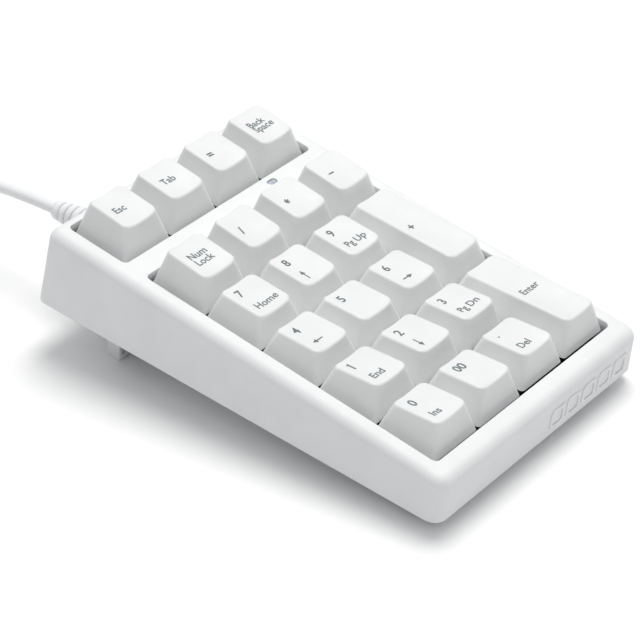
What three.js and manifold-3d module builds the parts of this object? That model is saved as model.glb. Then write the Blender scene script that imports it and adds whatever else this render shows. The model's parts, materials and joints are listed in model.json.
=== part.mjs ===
// Numeric keypad: 22 sprung keys on a steel plate, in a two-part wedge case with fold-out rear feet
// and a USB lead.  Millimetres, +Z up; the keypad stands on the table (z = 0) with its feet out, its
// front edge towards -Y, and the origin is on the table under the middle of the case.
//
// The keys and the case are drawn in the deck frame: x to the right, y to the back from the centre line
// of the front key row, z up from the flat top of the case.  One group turns that frame on to the table.
import * as THREE from "three";
import { mergeVertices } from "three/addons/utils/BufferGeometryUtils.js";
import Module from "manifold-3d";

const wasm = await Module();
wasm.setup();

// ---------------------------------------------------------------- driving dimensions

const GAP = 0.3; // clearance left between pieces that touch
const RAD = Math.PI / 180;

// key grid
const PITCH = 19.05;
const COLUMNS = 4;
const NUMBER_ROWS = 5;
const FUNCTION_ROW_GAP = 8.88; // extra space in front of the function row
const KEY_GAP = 0.95; // between the skirts of neighbouring keys
const CAP_TAPER_WIDTH = 5.33; // a key's top is this much narrower than its skirt
const CAP_TAPER_DEPTH = 3.86;
const CAP_BASE = PITCH - KEY_GAP; // skirt of a one-unit key, square
const CAP_TOP_WIDTH = CAP_BASE - CAP_TAPER_WIDTH;
const CAP_TOP_DEPTH = CAP_BASE - CAP_TAPER_DEPTH;
const CAP_TOP_SETBACK = 0.9; // the top sits this far behind the middle of the skirt
const CAP_BASE_RADIUS = 0.9;
const CAP_TOP_RADIUS = 1.5;
const CAP_WALL = 1.3;
const CAP_ROOF = 1;
const CAP_DISH = 0.8; // depth of the hollow across the top
const KEY_TRAVEL = 4;

// key switches and the plate they clip into
const PLATE_DROP = 7.5; // top of the plate below the flat top of the case
const PLATE_THICKNESS = 1.5;
const CAP_SEAT = 6.1; // skirt above the plate at rest
const SWITCH_HOLE = 14;
const SWITCH_FLANGE = 15.6;
const SWITCH_FLANGE_THICKNESS = 1;
const SWITCH_SHOULDER = 14.4;
const SWITCH_CROWN = 10.6;
const SWITCH_TOP = 6.6; // top of the housing above the plate
const SWITCH_BODY_DEPTH = 5; // plate to circuit board
const SWITCH_POST_RADIUS = 2;
const SWITCH_POST_LENGTH = 2.2;
const SLIDER_WIDTH = 6.4;
const SLIDER_DEPTH = 5.2;
const SLIDER_FOOT = 0.8; // bottom of the slider above the plate at rest
const BOSS_RADIUS = 2.75;
const BOSS_FOOT = 7.4; // bottom of the round boss above the plate at rest
const BOARD_THICKNESS = 1.6;
const BOARD_MARGIN = 8.2; // board past the outer switch centres, front and back
const BOARD_SIDE_MARGIN = 9.6;

// stabilisers under the two-unit keys
const WIRE_RADIUS = 0.8;
const WIRE_OFFSET = 9.2; // bar beside the middle of the key
const WIRE_RISE = 2.6; // hooks above the bar at rest
const HOOK_REACH = 11.94; // inserts in front of and behind the middle of the key
const INSERT_WIDTH = 5;
const INSERT_THICKNESS = 2;
const BRIDGE_REACH = 9.2;
const BRIDGE_WIDTH = 2;
const BRIDGE_WALL = 0.7;

// case
const WELL_CLEARANCE = 0.89; // well past the outer key cells
const WELL_RADIUS = 1.5;
const SIDE_BORDER = 5.46;
const FRONT_BORDER = 6.75;
const BACK_BORDER = 3.58;
const CORNER_RADIUS = 3.9;
const RIM_RADIUS = 3; // rounding of the top outer edge
const DRAFT = Math.tan(2.5 * RAD);
const COVER_WALL = 2.2;
const WELL_SKIRT = 1.8;
const SKIRT_ABOVE_PLATE = 0.7;
const FRONT_HEIGHT = 13.4; // top of the case to the cover's lower edge, at the front
const WEDGE = 4.46 * RAD; // top of the case against its bottom
const STAND_ANGLE = 5.07 * RAD; // bottom of the case against the table, feet out
const TRAY_DROP = 2.9; // tray below the cover's lower edge
const TRAY_LIP = 4; // tray wall above the cover's lower edge
const TRAY_WALL = 1.6;
const TRAY_FLOOR = 1.5;
const TRAY_EDGE = 1; // bevel of the tray's lower edge
const POST_RADIUS = 2.5;
const POST_BASE_RADIUS = 4.2;
const POST_BASE_HEIGHT = 4;
const SCREW_HEAD_RADIUS = 2.6;
const SCREW_HEAD_DEPTH = 2.2;

// lamp
const LAMP_SHIFT_X = -0.45; // from the line between the last two columns
const LAMP_SHIFT_Y = 0.835; // behind the middle of the bar between the wells
const LAMP_LENGTH = 3.2;
const LAMP_WIDTH = 1.8;

// feet
const RUBBER_FOOT_WIDTH = 12;
const RUBBER_FOOT_DEPTH = 6;
const RUBBER_FOOT_HEIGHT = 1.3;
const RUBBER_FOOT_INSET = 6; // from the case's side and front to the foot
const TILT_FOOT_WIDTH = 16;
const TILT_FOOT_INSET = 7.9; // from the case's side to the foot
const TILT_FOOT_SETBACK = 19.6; // hinge from the back of the case
const TILT_FOOT_THICKNESS = 4.4;
const TILT_FOOT_CHAMFER = 0.5;
const TILT_PIN_RADIUS = 1.3;
const TILT_PIN_LENGTH = 1.1;
const POCKET_CLEARANCE = 0.4;

// lead
const LEAD_RADIUS = 1.75;
const LEAD_X = -20;
const LEAD_DROP = 13; // below the flat top of the case, at the back
const BOOT_TIP_RADIUS = LEAD_RADIUS + 1.25;
const BOOT_NECK_RADIUS = LEAD_RADIUS + 1.65;
const BOOT_WALL_RADIUS = LEAD_RADIUS + 2.85;
const BOOT_FLANGE_RADIUS = LEAD_RADIUS + 3.25;
const BOOT_FLANGE_THICKNESS = 1.6;
const BOOT_LENGTH = 17.5;
const BOOT_TILT_ROOM = 1; // the flange stands square to the lead, not to the sloping wall
const COIL_MEAN_RADIUS = 20;
const COIL_TURNS_WIDE = 4;
const COIL_TURNS_HIGH = 3;
const COIL_LEAD_IN = 16; // straight lead along the coil's side before it starts to turn
const PLUG_TAIL = 22; // straight lead between the coil and the plug
const PLUG_GRIP = { width: 15.6, height: 7.6, length: 26 };
const PLUG_SHELL = { width: 12, height: 4.5, length: 12, wall: 0.4 };

// the height of a key's top above the deck, and its slope: positive rises to the back
const SCULPT = {
  front: { height: 6.25, slope: -9.3 * RAD },
  low: { height: 5.57, slope: -5.2 * RAD },
  middle: { height: 5.85, slope: -0.9 * RAD },
  high: { height: 7.7, slope: 3.1 * RAD },
  tallPlus: { height: 5.75, slope: -2.6 * RAD },
  tallEnter: { height: 6.2, slope: -6.8 * RAD },
};

// name, column, row from the front, rows covered, sculpt
const KEYS = [
  ["esc", 0, 5, 1, "high"],
  ["tab", 1, 5, 1, "high"],
  ["equals", 2, 5, 1, "high"],
  ["backspace", 3, 5, 1, "high"],
  ["num_lock", 0, 4, 1, "high"],
  ["divide", 1, 4, 1, "high"],
  ["multiply", 2, 4, 1, "high"],
  ["minus", 3, 4, 1, "high"],
  ["7", 0, 3, 1, "middle"],
  ["8", 1, 3, 1, "middle"],
  ["9", 2, 3, 1, "middle"],
  ["4", 0, 2, 1, "low"],
  ["5", 1, 2, 1, "low"],
  ["6", 2, 2, 1, "low"],
  ["plus", 3, 2, 2, "tallPlus"],
  ["1", 0, 1, 1, "front"],
  ["2", 1, 1, 1, "front"],
  ["3", 2, 1, 1, "front"],
  ["0", 0, 0, 1, "front"],
  ["00", 1, 0, 1, "front"],
  ["point", 2, 0, 1, "front"],
  ["enter", 3, 0, 2, "tallEnter"],
];

// ---------------------------------------------------------------- derived places, deck frame

const FUNCTION_ROW_Y = NUMBER_ROWS * PITCH + FUNCTION_ROW_GAP;
const columnX = (column) => (column - (COLUMNS - 1) / 2) * PITCH;
const rowY = (row) => (row < NUMBER_ROWS ? row * PITCH : FUNCTION_ROW_Y);
const keyPlaces = KEYS.map(([name, column, row, units, sculpt]) => ({
  name,
  units,
  sculpt,
  x: columnX(column),
  y: rowY(row) + ((units - 1) * PITCH) / 2,
}));
const tallKeys = keyPlaces.filter((key) => key.units > 1);

const wellHalfWidth = (COLUMNS * PITCH) / 2 + WELL_CLEARANCE;
const wells = [
  { front: -PITCH / 2 - WELL_CLEARANCE, back: (NUMBER_ROWS - 0.5) * PITCH + WELL_CLEARANCE },
  { front: FUNCTION_ROW_Y - PITCH / 2 - WELL_CLEARANCE, back: FUNCTION_ROW_Y + PITCH / 2 + WELL_CLEARANCE },
];
const caseHalfWidth = wellHalfWidth + SIDE_BORDER;
const caseFront = wells[0].front - FRONT_BORDER;
const caseBack = wells[1].back + BACK_BORDER;
const caseMiddle = (caseFront + caseBack) / 2;
const caseDepth = caseBack - caseFront;

const plateTop = -PLATE_DROP;
const plateBottom = plateTop - PLATE_THICKNESS;
const boardTop = plateTop - SWITCH_BODY_DEPTH;
const boardBottom = boardTop - BOARD_THICKNESS;
const capFoot = plateTop + CAP_SEAT;

const WEDGE_SLOPE = -Math.tan(WEDGE); // the bottom runs down towards the back
const lowerEdge = (y) => -FRONT_HEIGHT + (y - caseFront) * WEDGE_SLOPE;
const trayBottom = (y) => lowerEdge(y) - TRAY_DROP;

const barMiddle = (wells[0].back + wells[1].front) / 2;
const lampX = PITCH + LAMP_SHIFT_X;
const lampY = barMiddle + LAMP_SHIFT_Y;

const postPlaces = [
  [-PITCH, PITCH / 2, false],
  [PITCH, PITCH / 2, false],
  [-PITCH, 2.5 * PITCH, true],
  [PITCH, 2.5 * PITCH, true],
  [-PITCH / 2, barMiddle, true],
  [PITCH / 2, barMiddle, true],
];

const DECK_ANGLE = STAND_ANGLE + WEDGE;
const onTable = (y, z) => ({
  y: y * Math.cos(DECK_ANGLE) - z * Math.sin(DECK_ANGLE),
  z: y * Math.sin(DECK_ANGLE) + z * Math.cos(DECK_ANGLE),
});

// front rubber feet, and the table they stand on
const rubberFootX = caseHalfWidth - RUBBER_FOOT_INSET - RUBBER_FOOT_WIDTH / 2;
const rubberFootFront = caseFront + RUBBER_FOOT_INSET;
const rubberFootFrontHeight = trayBottom(rubberFootFront) - GAP - RUBBER_FOOT_HEIGHT;
const tableDrop = onTable(rubberFootFront, rubberFootFrontHeight).z;

// tilt feet
const tiltFootX = caseHalfWidth - TILT_FOOT_INSET - TILT_FOOT_WIDTH / 2;
const tiltHingeY = caseBack - TILT_FOOT_SETBACK;
const tiltHingeZ = trayBottom(tiltHingeY) + TILT_FOOT_THICKNESS / 2 + POCKET_CLEARANCE / 2;
const tiltHinge = onTable(tiltHingeY, tiltHingeZ);
const tiltLegLength = tiltHinge.z - tableDrop;
const pocketLength = tiltLegLength + 3 * POCKET_CLEARANCE;
const pocketRoof = TILT_FOOT_THICKNESS / 2 + POCKET_CLEARANCE; // above the hinge axis

// ---------------------------------------------------------------- solids

function toSolid(geometry) {
  const bare = geometry.clone();
  bare.deleteAttribute("normal");
  bare.deleteAttribute("uv");
  const merged = mergeVertices(bare, 1e-4);
  const vertProperties = merged.attributes.position.array;
  const triVerts = new Uint32Array(merged.index.array);
  return new wasm.Manifold(new wasm.Mesh({ numProp: 3, vertProperties, triVerts }));
}

function toGeometry(solid) {
  const mesh = solid.getMesh();
  const geometry = new THREE.BufferGeometry();
  geometry.setAttribute("position", new THREE.BufferAttribute(mesh.vertProperties, 3));
  geometry.setIndex(new THREE.BufferAttribute(mesh.triVerts, 1));
  return geometry;
}

// A rounded rectangle of points at a height that may slope with y.
function ring({ width, depth, radius, x = 0, y = 0, z, slope = 0, steps = 3 }) {
  const points = [];
  const corners = [[1, 1], [-1, 1], [-1, -1], [1, -1]];
  corners.forEach(([sideX, sideY], corner) => {
    for (let step = 0; step <= steps; step += 1) {
      const angle = ((corner + step / steps) * Math.PI) / 2;
      const px = sideX * (width / 2 - radius) + radius * Math.cos(angle);
      const py = sideY * (depth / 2 - radius) + radius * Math.sin(angle);
      points.push(new THREE.Vector3(x + px, y + py, z + py * slope));
    }
  });
  return points;
}

// A closed solid through matching rings, listed from the bottom up.
function loft(rings) {
  const count = rings[0].length;
  const positions = rings.flat().flatMap((point) => [point.x, point.y, point.z]);
  const index = [];
  for (let level = 0; level + 1 < rings.length; level += 1) {
    for (let side = 0; side < count; side += 1) {
      const a = level * count + side;
      const b = level * count + ((side + 1) % count);
      index.push(a, b, b + count, a, b + count, a + count);
    }
  }
  const top = (rings.length - 1) * count;
  for (let side = 1; side + 1 < count; side += 1) {
    index.push(0, side + 1, side);
    index.push(top, top + side, top + side + 1);
  }
  const geometry = new THREE.BufferGeometry();
  geometry.setAttribute("position", new THREE.Float32BufferAttribute(positions, 3));
  geometry.setIndex(index);
  return toSolid(geometry);
}

// An upright block from one height to another.
function block(width, depth, low, high, x = 0, y = 0) {
  const box = new THREE.BoxGeometry(width, depth, high - low);
  return toSolid(box.translate(x, y, (low + high) / 2));
}

// An upright block whose ends follow a slope in y; low and high are its heights at the middle.
function slopedBlock(width, depth, low, high, x, y, slope) {
  const plan = { width, depth, radius: 0.2, x, y, slope, steps: 1 };
  return loft([ring({ ...plan, z: low }), ring({ ...plan, z: high })]);
}

function disc(radius, low, high, x = 0, y = 0, sides = 8) {
  const cylinder = new THREE.CylinderGeometry(radius, radius, high - low, sides);
  return toSolid(cylinder.rotateX(Math.PI / 2).translate(x, y, (low + high) / 2));
}

// A round bar between two points.
function rod(from, to, radius, sides = 8) {
  const along = to.clone().sub(from);
  const turn = new THREE.Quaternion();
  turn.setFromUnitVectors(new THREE.Vector3(0, 1, 0), along.clone().normalize());
  const cylinder = new THREE.CylinderGeometry(radius, radius, along.length(), sides);
  const middle = from.clone().add(to).multiplyScalar(0.5);
  return toSolid(cylinder.applyQuaternion(turn).translate(middle.x, middle.y, middle.z));
}

function joined(solids) {
  return solids.reduce((whole, solid) => whole.add(solid));
}

function cut(solid, tools) {
  return tools.reduce((rest, tool) => rest.subtract(tool), solid);
}

function makeMesh(name, geometry, material) {
  const mesh = new THREE.Mesh(geometry, material.clone());
  mesh.name = name;
  return mesh;
}

// ---------------------------------------------------------------- materials

const finish = (color, roughness, metalness = 0) =>
  new THREE.MeshStandardMaterial({ color, roughness, metalness });
const CAP_PLASTIC = finish(0xf2f3f4, 0.55);
const CASE_PLASTIC = finish(0xeef0f2, 0.6);
const FOOT_PLASTIC = finish(0xe9ebee, 0.6);
const SWITCH_PLASTIC = finish(0x1f2023, 0.45);
const STEEL = finish(0x9ea1a6, 0.35, 0.9);
const BOARD = finish(0x1f5a38, 0.5);
const RUBBER = finish(0xc9cccf, 0.85);
const LEAD_JACKET = finish(0xe8eaec, 0.5);
const PLUG_STEEL = finish(0xc6c8cb, 0.25, 0.95);
const LAMP = finish(0x9fb6d8, 0.2);

// ---------------------------------------------------------------- keys

// The keycap with the slider it is pressed on to: they move as one.  Origin: middle of the skirt.
function keycap({ units, sculpt }) {
  const stretch = (units - 1) * PITCH;
  const { height, slope } = SCULPT[sculpt];
  const topHeight = height - capFoot;
  const slant = Math.tan(slope);
  const cornerSteps = 2;
  const spare = 0.3; // the block is left this much tall, and the dish cuts it to height
  const taperWidth = (CAP_BASE - CAP_TOP_WIDTH) / topHeight;
  const taperDepth = (CAP_BASE - CAP_TOP_DEPTH) / topHeight;
  const skin = loft([
    ring({ width: CAP_BASE, depth: CAP_BASE + stretch, radius: CAP_BASE_RADIUS, z: 0, steps: cornerSteps }),
    ring({
      width: CAP_TOP_WIDTH - spare * taperWidth,
      depth: CAP_TOP_DEPTH + stretch - spare * taperDepth,
      radius: CAP_TOP_RADIUS,
      y: CAP_TOP_SETBACK,
      z: topHeight + spare,
      slope: slant,
      steps: cornerSteps,
    }),
  ]);
  const dishRadius = (CAP_TOP_WIDTH ** 2 / 4 + CAP_DISH ** 2) / (2 * CAP_DISH);
  const dishLength = 2 * (CAP_BASE + stretch);
  const dish = new THREE.CylinderGeometry(dishRadius, dishRadius, dishLength, 80)
    .translate(0, 0, dishRadius - CAP_DISH)
    .rotateX(slope)
    .translate(0, CAP_TOP_SETBACK, topHeight);
  const roofHeight = topHeight - CAP_DISH - CAP_ROOF;
  const inside = 2 * CAP_WALL;
  const hollow = loft([
    ring({
      width: CAP_BASE - inside,
      depth: CAP_BASE + stretch - inside,
      radius: CAP_BASE_RADIUS / 2,
      z: -1,
      steps: 1,
    }),
    ring({
      width: CAP_TOP_WIDTH - inside + taperWidth * (topHeight - roofHeight),
      depth: CAP_TOP_DEPTH - inside + stretch + taperDepth * (topHeight - roofHeight),
      radius: CAP_BASE_RADIUS / 2,
      y: CAP_TOP_SETBACK,
      z: roofHeight,
      slope: slant,
      steps: 1,
    }),
  ]);
  const insideRoof = (y) => roofHeight + CAP_ROOF / 2 + (y - CAP_TOP_SETBACK) * slant;
  const boss = disc(BOSS_RADIUS, BOSS_FOOT - CAP_SEAT, insideRoof(0));
  const slider = block(SLIDER_WIDTH, SLIDER_DEPTH, SLIDER_FOOT - CAP_SEAT, BOSS_FOOT - CAP_SEAT + 1);
  const ends = units > 1 ? [-HOOK_REACH, HOOK_REACH] : [];
  const inserts = ends.map((y) => stabiliserInsert(y, insideRoof(y)));
  return joined([cut(skin, [toSolid(dish), hollow]), boss, slider, ...inserts]);
}

// The tab inside a tall key that holds one hook of its stabiliser wire.
function stabiliserInsert(y, top) {
  const hookHeight = WIRE_RISE - CAP_SEAT;
  const slot = WIRE_RADIUS + GAP;
  const low = hookHeight - slot - WIRE_RADIUS;
  const tab = block(INSERT_WIDTH, INSERT_THICKNESS, low, top, 0, y);
  const slotWidth = 2 * slot + 2 * GAP;
  const window = block(slotWidth, INSERT_THICKNESS + 1, hookHeight - slot, hookHeight + slot, GAP, y);
  return tab.subtract(window);
}

// Origin: on the plate's top face, in the middle of the switch.
function switchHousing() {
  const body = SWITCH_HOLE - 2 * GAP;
  const floor = -SWITCH_BODY_DEPTH + GAP;
  const well = SLIDER_FOOT - KEY_TRAVEL - GAP;
  const square = (width, z, x = 0) => ring({ width, depth: width, radius: 0.5, x, z, steps: 1 });
  const lower = block(body, body, floor, GAP + SWITCH_FLANGE_THICKNESS / 2);
  const flange = block(SWITCH_FLANGE, SWITCH_FLANGE, GAP, GAP + SWITCH_FLANGE_THICKNESS);
  const upper = loft([square(SWITCH_SHOULDER, GAP + 0.5), square(SWITCH_CROWN, SWITCH_TOP)]);
  const post = disc(SWITCH_POST_RADIUS, floor - SWITCH_POST_LENGTH, floor + 0.5);
  const shaft = block(SLIDER_WIDTH + 2 * GAP, SLIDER_DEPTH + 2 * GAP, well, SWITCH_TOP + 1);
  return joined([lower, flange, upper, post]).subtract(shaft);
}

// Origin: middle of the bar.  The bar lies half sunk in the plate; its hooks sit in the key's inserts.
function stabiliserWire() {
  const reach = HOOK_REACH + INSERT_THICKNESS / 2 + GAP + WIRE_RADIUS;
  const pieces = [rod(new THREE.Vector3(0, -reach, 0), new THREE.Vector3(0, reach, 0), WIRE_RADIUS)];
  for (const end of [-1, 1]) {
    const elbow = new THREE.Vector3(0, end * reach, 0);
    const knee = new THREE.Vector3(WIRE_OFFSET, end * reach, WIRE_RISE);
    const tip = new THREE.Vector3(WIRE_OFFSET, end * (reach - 2 * WIRE_RADIUS - INSERT_THICKNESS), WIRE_RISE);
    const overrun = knee.clone().sub(elbow).setLength(WIRE_RADIUS / 2);
    pieces.push(rod(elbow.clone().sub(overrun), knee.clone().add(overrun), WIRE_RADIUS));
    pieces.push(rod(knee.clone().setY(end * (reach + WIRE_RADIUS / 2)), tip, WIRE_RADIUS));
  }
  return joined(pieces);
}

// ---------------------------------------------------------------- case

// A ring of the case's outline, set in by a distance at the rim and following the draft below it.
function caseRing(inset, z, extra = {}) {
  const grown = inset - Math.max(0, -z - RIM_RADIUS) * DRAFT;
  return ring({
    width: 2 * (caseHalfWidth - grown),
    depth: caseDepth - 2 * grown,
    radius: Math.max(CORNER_RADIUS - inset, 0.6),
    y: caseMiddle,
    z,
    ...extra,
  });
}

function wellBlock(well, margin, low, high, steps = 2) {
  const plan = {
    width: 2 * (wellHalfWidth + margin),
    depth: well.back - well.front + 2 * margin,
    radius: WELL_RADIUS + margin,
    y: (well.front + well.back) / 2,
    steps,
  };
  return loft([ring({ ...plan, z: low }), ring({ ...plan, z: high })]);
}

// Everything below a sloping plane at a distance from the cover's lower edge.
function below(offset) {
  const far = 40;
  const wide = 3 * caseHalfWidth;
  const high = lowerEdge(caseMiddle) + offset;
  return slopedBlock(wide, 2 * caseDepth, high - far, high, 0, caseMiddle, WEDGE_SLOPE);
}

const caseFloor = lowerEdge(caseBack) - 12; // lower than any part of the case

function topCover() {
  const roundSteps = 3;
  const outer = [caseRing(0, caseFloor), caseRing(0, -RIM_RADIUS)];
  for (let step = 1; step <= roundSteps; step += 1) {
    const angle = (step / roundSteps) * (Math.PI / 2);
    outer.push(caseRing(RIM_RADIUS * (1 - Math.cos(angle)), -RIM_RADIUS * (1 - Math.sin(angle))));
  }
  const inner = [caseRing(COVER_WALL, caseFloor - 1), caseRing(COVER_WALL, -COVER_WALL)];
  const skirtFoot = plateTop + SKIRT_ABOVE_PLATE;
  const skirts = wells.map((well) => wellBlock(well, WELL_SKIRT, skirtFoot, -COVER_WALL / 2));
  const openings = wells.map((well) => wellBlock(well, 0, skirtFoot - 1, 1));
  const shell = loft(outer).subtract(loft(inner));
  const lampHole = lampPlan(GAP, -COVER_WALL - 1, 1);
  const bore = leadBar(BOOT_NECK_RADIUS + GAP, -3 * COVER_WALL, 3 * COVER_WALL);
  return cut(joined([shell, ...skirts]), [...openings, lampHole, bore, below(0)]);
}

function lampPlan(margin, low, high) {
  const plan = {
    width: LAMP_LENGTH + 2 * margin,
    depth: LAMP_WIDTH + 2 * margin,
    radius: LAMP_WIDTH / 2 + margin - 0.01,
    x: lampX,
    y: lampY,
  };
  return loft([ring({ ...plan, z: low }), ring({ ...plan, z: high })]);
}

// A bar along the lead where it leaves the case, level with the table, in the deck frame.
function leadBar(radius, from, to, sides = 16) {
  const along = new THREE.Vector3(0, Math.cos(DECK_ANGLE), -Math.sin(DECK_ANGLE));
  const exit = new THREE.Vector3(LEAD_X, caseBack, -LEAD_DROP);
  const start = exit.clone().addScaledVector(along, from);
  return rod(start, exit.clone().addScaledVector(along, to), radius, sides);
}

// A sloping ring of the tray that keeps its distance to the cover's drafted wall all the way round.
function traySlice(inset, offset) {
  const z = lowerEdge(caseMiddle) + offset;
  const points = caseRing(COVER_WALL + GAP + inset, z, { slope: WEDGE_SLOPE });
  for (const point of points) {
    const growth = (z - point.z) * DRAFT;
    const stepBack = Math.sign(point.y - caseMiddle) * growth;
    point.x += Math.sign(point.x) * growth;
    point.y += stepBack;
    point.z += stepBack * WEDGE_SLOPE;
  }
  return points;
}

function bottomCase() {
  const pan = loft([
    traySlice(TRAY_EDGE, -TRAY_DROP),
    traySlice(0, -TRAY_DROP + TRAY_EDGE),
    traySlice(0, TRAY_LIP),
  ]);
  const hollow = loft([
    traySlice(TRAY_WALL, -TRAY_DROP + TRAY_FLOOR),
    traySlice(TRAY_WALL, TRAY_LIP + 1),
  ]);
  const inside = loft([traySlice(TRAY_EDGE, -TRAY_DROP), traySlice(TRAY_EDGE, TRAY_LIP + 30)]);
  const posts = postPlaces.map(([x, y]) => disc(POST_RADIUS, trayBottom(y) - 2, plateBottom - GAP, x, y));
  const screwed = postPlaces.filter(([, , screw]) => screw);
  const bases = screwed.map(([x, y]) =>
    disc(POST_BASE_RADIUS, trayBottom(y) - 2, trayBottom(y) + POST_BASE_HEIGHT, x, y),
  );
  const counterbores = screwed.map(([x, y]) =>
    disc(SCREW_HEAD_RADIUS, trayBottom(y) - 3, trayBottom(y) + SCREW_HEAD_DEPTH, x, y),
  );
  const pocketWalls = [-1, 1].map((side) => pocketBlock(side, TRAY_WALL, -TRAY_DROP));
  const pockets = [-1, 1].map((side) => pocketBlock(side, 0, -TRAY_DROP - 4));
  const pinHoles = [-1, 1].map((side) => tiltPin(side, TILT_PIN_RADIUS + GAP, TILT_PIN_LENGTH + GAP));
  const filled = joined([pan.subtract(hollow), ...posts, ...bases, ...pocketWalls]);
  return cut(filled.intersect(pan.add(inside)), [...counterbores, ...pockets, ...pinHoles]);
}

// The recess that a tilt foot folds into, or, with a margin, the block its walls are cut from.
function pocketBlock(side, margin, lowOffset) {
  const front = tiltHingeY - pocketLength - margin;
  const back = tiltHingeY + TILT_FOOT_THICKNESS / 2 + 3 * POCKET_CLEARANCE + margin;
  const y = (front + back) / 2;
  const width = TILT_FOOT_WIDTH + 2 * POCKET_CLEARANCE + 2 * margin;
  const roof = tiltHingeZ - trayBottom(tiltHingeY) + pocketRoof + margin;
  const low = lowerEdge(y) + lowOffset;
  return slopedBlock(width, back - front, low, trayBottom(y) + roof, side * tiltFootX, y, WEDGE_SLOPE);
}

// A bar on a tilt foot's hinge axis that sticks out of both its sides.
function tiltPin(side, radius, length) {
  const half = TILT_FOOT_WIDTH / 2 + length;
  const centre = side * tiltFootX;
  const from = new THREE.Vector3(centre - half, tiltHingeY, tiltHingeZ);
  return rod(from, from.clone().setX(centre + half), radius, 10);
}

function switchPlate() {
  const margin = COVER_WALL + 2 * GAP;
  const front = caseFront + margin;
  const back = caseBack - margin - BOOT_TILT_ROOM - BOOT_FLANGE_THICKNESS;
  const plan = {
    width: 2 * (caseHalfWidth - margin),
    depth: back - front,
    radius: CORNER_RADIUS - COVER_WALL,
    y: (front + back) / 2,
  };
  const sheet = loft([ring({ ...plan, z: plateBottom }), ring({ ...plan, z: plateTop })]);
  const low = plateBottom - 1;
  const high = plateTop + 1;
  const holes = keyPlaces.map(({ x, y }) => block(SWITCH_HOLE, SWITCH_HOLE, low, high, x, y));
  const lampSlot = lampPlan(2 * GAP, low, high);
  const bridges = tallKeys.flatMap(({ x, y }) => [-1, 1].map((end) => wireBridge(x, y, end)));
  const slots = tallKeys.flatMap(({ x, y }) => wireSlots(x, y, low, high));
  return joined([cut(sheet, [...holes, lampSlot, ...slots]), ...bridges]);
}

// The long slot for a stabiliser's bar and the two windows for its arms.
function wireSlots(x, y, low, high) {
  const slot = WIRE_RADIUS + GAP;
  const reach = HOOK_REACH + INSERT_THICKNESS / 2 + 2 * GAP + 2 * WIRE_RADIUS;
  const barSlot = block(2 * slot, 2 * reach, low, high, x - WIRE_OFFSET, y);
  const left = -WIRE_OFFSET - slot;
  const right = INSERT_WIDTH / 2 + 2 * GAP;
  const near = HOOK_REACH - INSERT_THICKNESS / 2 - 2 * GAP - WIRE_RADIUS;
  const windows = [-1, 1].map((end) =>
    block(right - left, reach - near, low, high, x + (left + right) / 2, y + (end * (near + reach)) / 2),
  );
  return [barSlot, ...windows];
}

// A low steel bridge that holds the stabiliser's bar down in its slot.
function wireBridge(x, y, end) {
  const slot = WIRE_RADIUS + GAP;
  const top = plateTop + slot + BRIDGE_WALL;
  const at = [x - WIRE_OFFSET, y + end * BRIDGE_REACH];
  const arch = block(2 * (slot + BRIDGE_WALL), BRIDGE_WIDTH, plateTop - 0.5, top, ...at);
  return arch.subtract(block(2 * slot, BRIDGE_WIDTH + 1, plateTop - 1, plateTop + slot, ...at));
}

function circuitBoard() {
  const front = rowY(0) - BOARD_MARGIN;
  const back = FUNCTION_ROW_Y + BOARD_MARGIN;
  const width = 2 * (columnX(COLUMNS - 1) + BOARD_SIDE_MARGIN);
  const plan = { width, depth: back - front, radius: 1.5, y: (front + back) / 2, steps: 2 };
  const sheet = loft([ring({ ...plan, z: boardBottom }), ring({ ...plan, z: boardTop })]);
  const low = boardBottom - 1;
  const high = boardTop + 1;
  const switchHoles = keyPlaces.map(({ x, y }) => disc(SWITCH_POST_RADIUS + GAP, low, high, x, y));
  const postHoles = postPlaces.map(([x, y]) => disc(POST_RADIUS + 2 * GAP, low, high, x, y));
  return cut(sheet, [...switchHoles, ...postHoles]);
}

function lampLens() {
  return lampPlan(0, boardTop + GAP, 0);
}

function rubberFoot(side) {
  const y = rubberFootFront + RUBBER_FOOT_DEPTH / 2;
  const high = trayBottom(y) - GAP;
  const plan = {
    width: RUBBER_FOOT_WIDTH,
    depth: RUBBER_FOOT_DEPTH,
    radius: 1.5,
    x: side * rubberFootX,
    y,
    slope: WEDGE_SLOPE,
  };
  return loft([ring({ ...plan, z: high - RUBBER_FOOT_HEIGHT }), ring({ ...plan, z: high })]);
}

// Origin: middle of the hinge axis, upright on the table.
function tiltFoot() {
  const outline = new THREE.Shape();
  const half = TILT_FOOT_THICKNESS / 2;
  outline.moveTo(-half, 0);
  outline.absarc(0, 0, half, Math.PI, 0, true);
  outline.lineTo(half, TILT_FOOT_CHAMFER - tiltLegLength);
  outline.lineTo(half - TILT_FOOT_CHAMFER, -tiltLegLength);
  outline.lineTo(TILT_FOOT_CHAMFER - half, -tiltLegLength);
  outline.lineTo(-half, TILT_FOOT_CHAMFER - tiltLegLength);
  outline.closePath();
  const leg = new THREE.ExtrudeGeometry(outline, {
    depth: TILT_FOOT_WIDTH,
    bevelEnabled: false,
    curveSegments: 4,
  });
  leg.translate(0, 0, -TILT_FOOT_WIDTH / 2);
  leg.applyMatrix4(new THREE.Matrix4().makeBasis(
    new THREE.Vector3(0, 1, 0),
    new THREE.Vector3(0, 0, 1),
    new THREE.Vector3(1, 0, 0),
  ));
  const pinEnd = new THREE.Vector3(TILT_FOOT_WIDTH / 2 + TILT_PIN_LENGTH, 0, 0);
  const pin = rod(pinEnd.clone().negate(), pinEnd, TILT_PIN_RADIUS, 10);
  return toSolid(leg).add(pin);
}

// ---------------------------------------------------------------- lead

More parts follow.
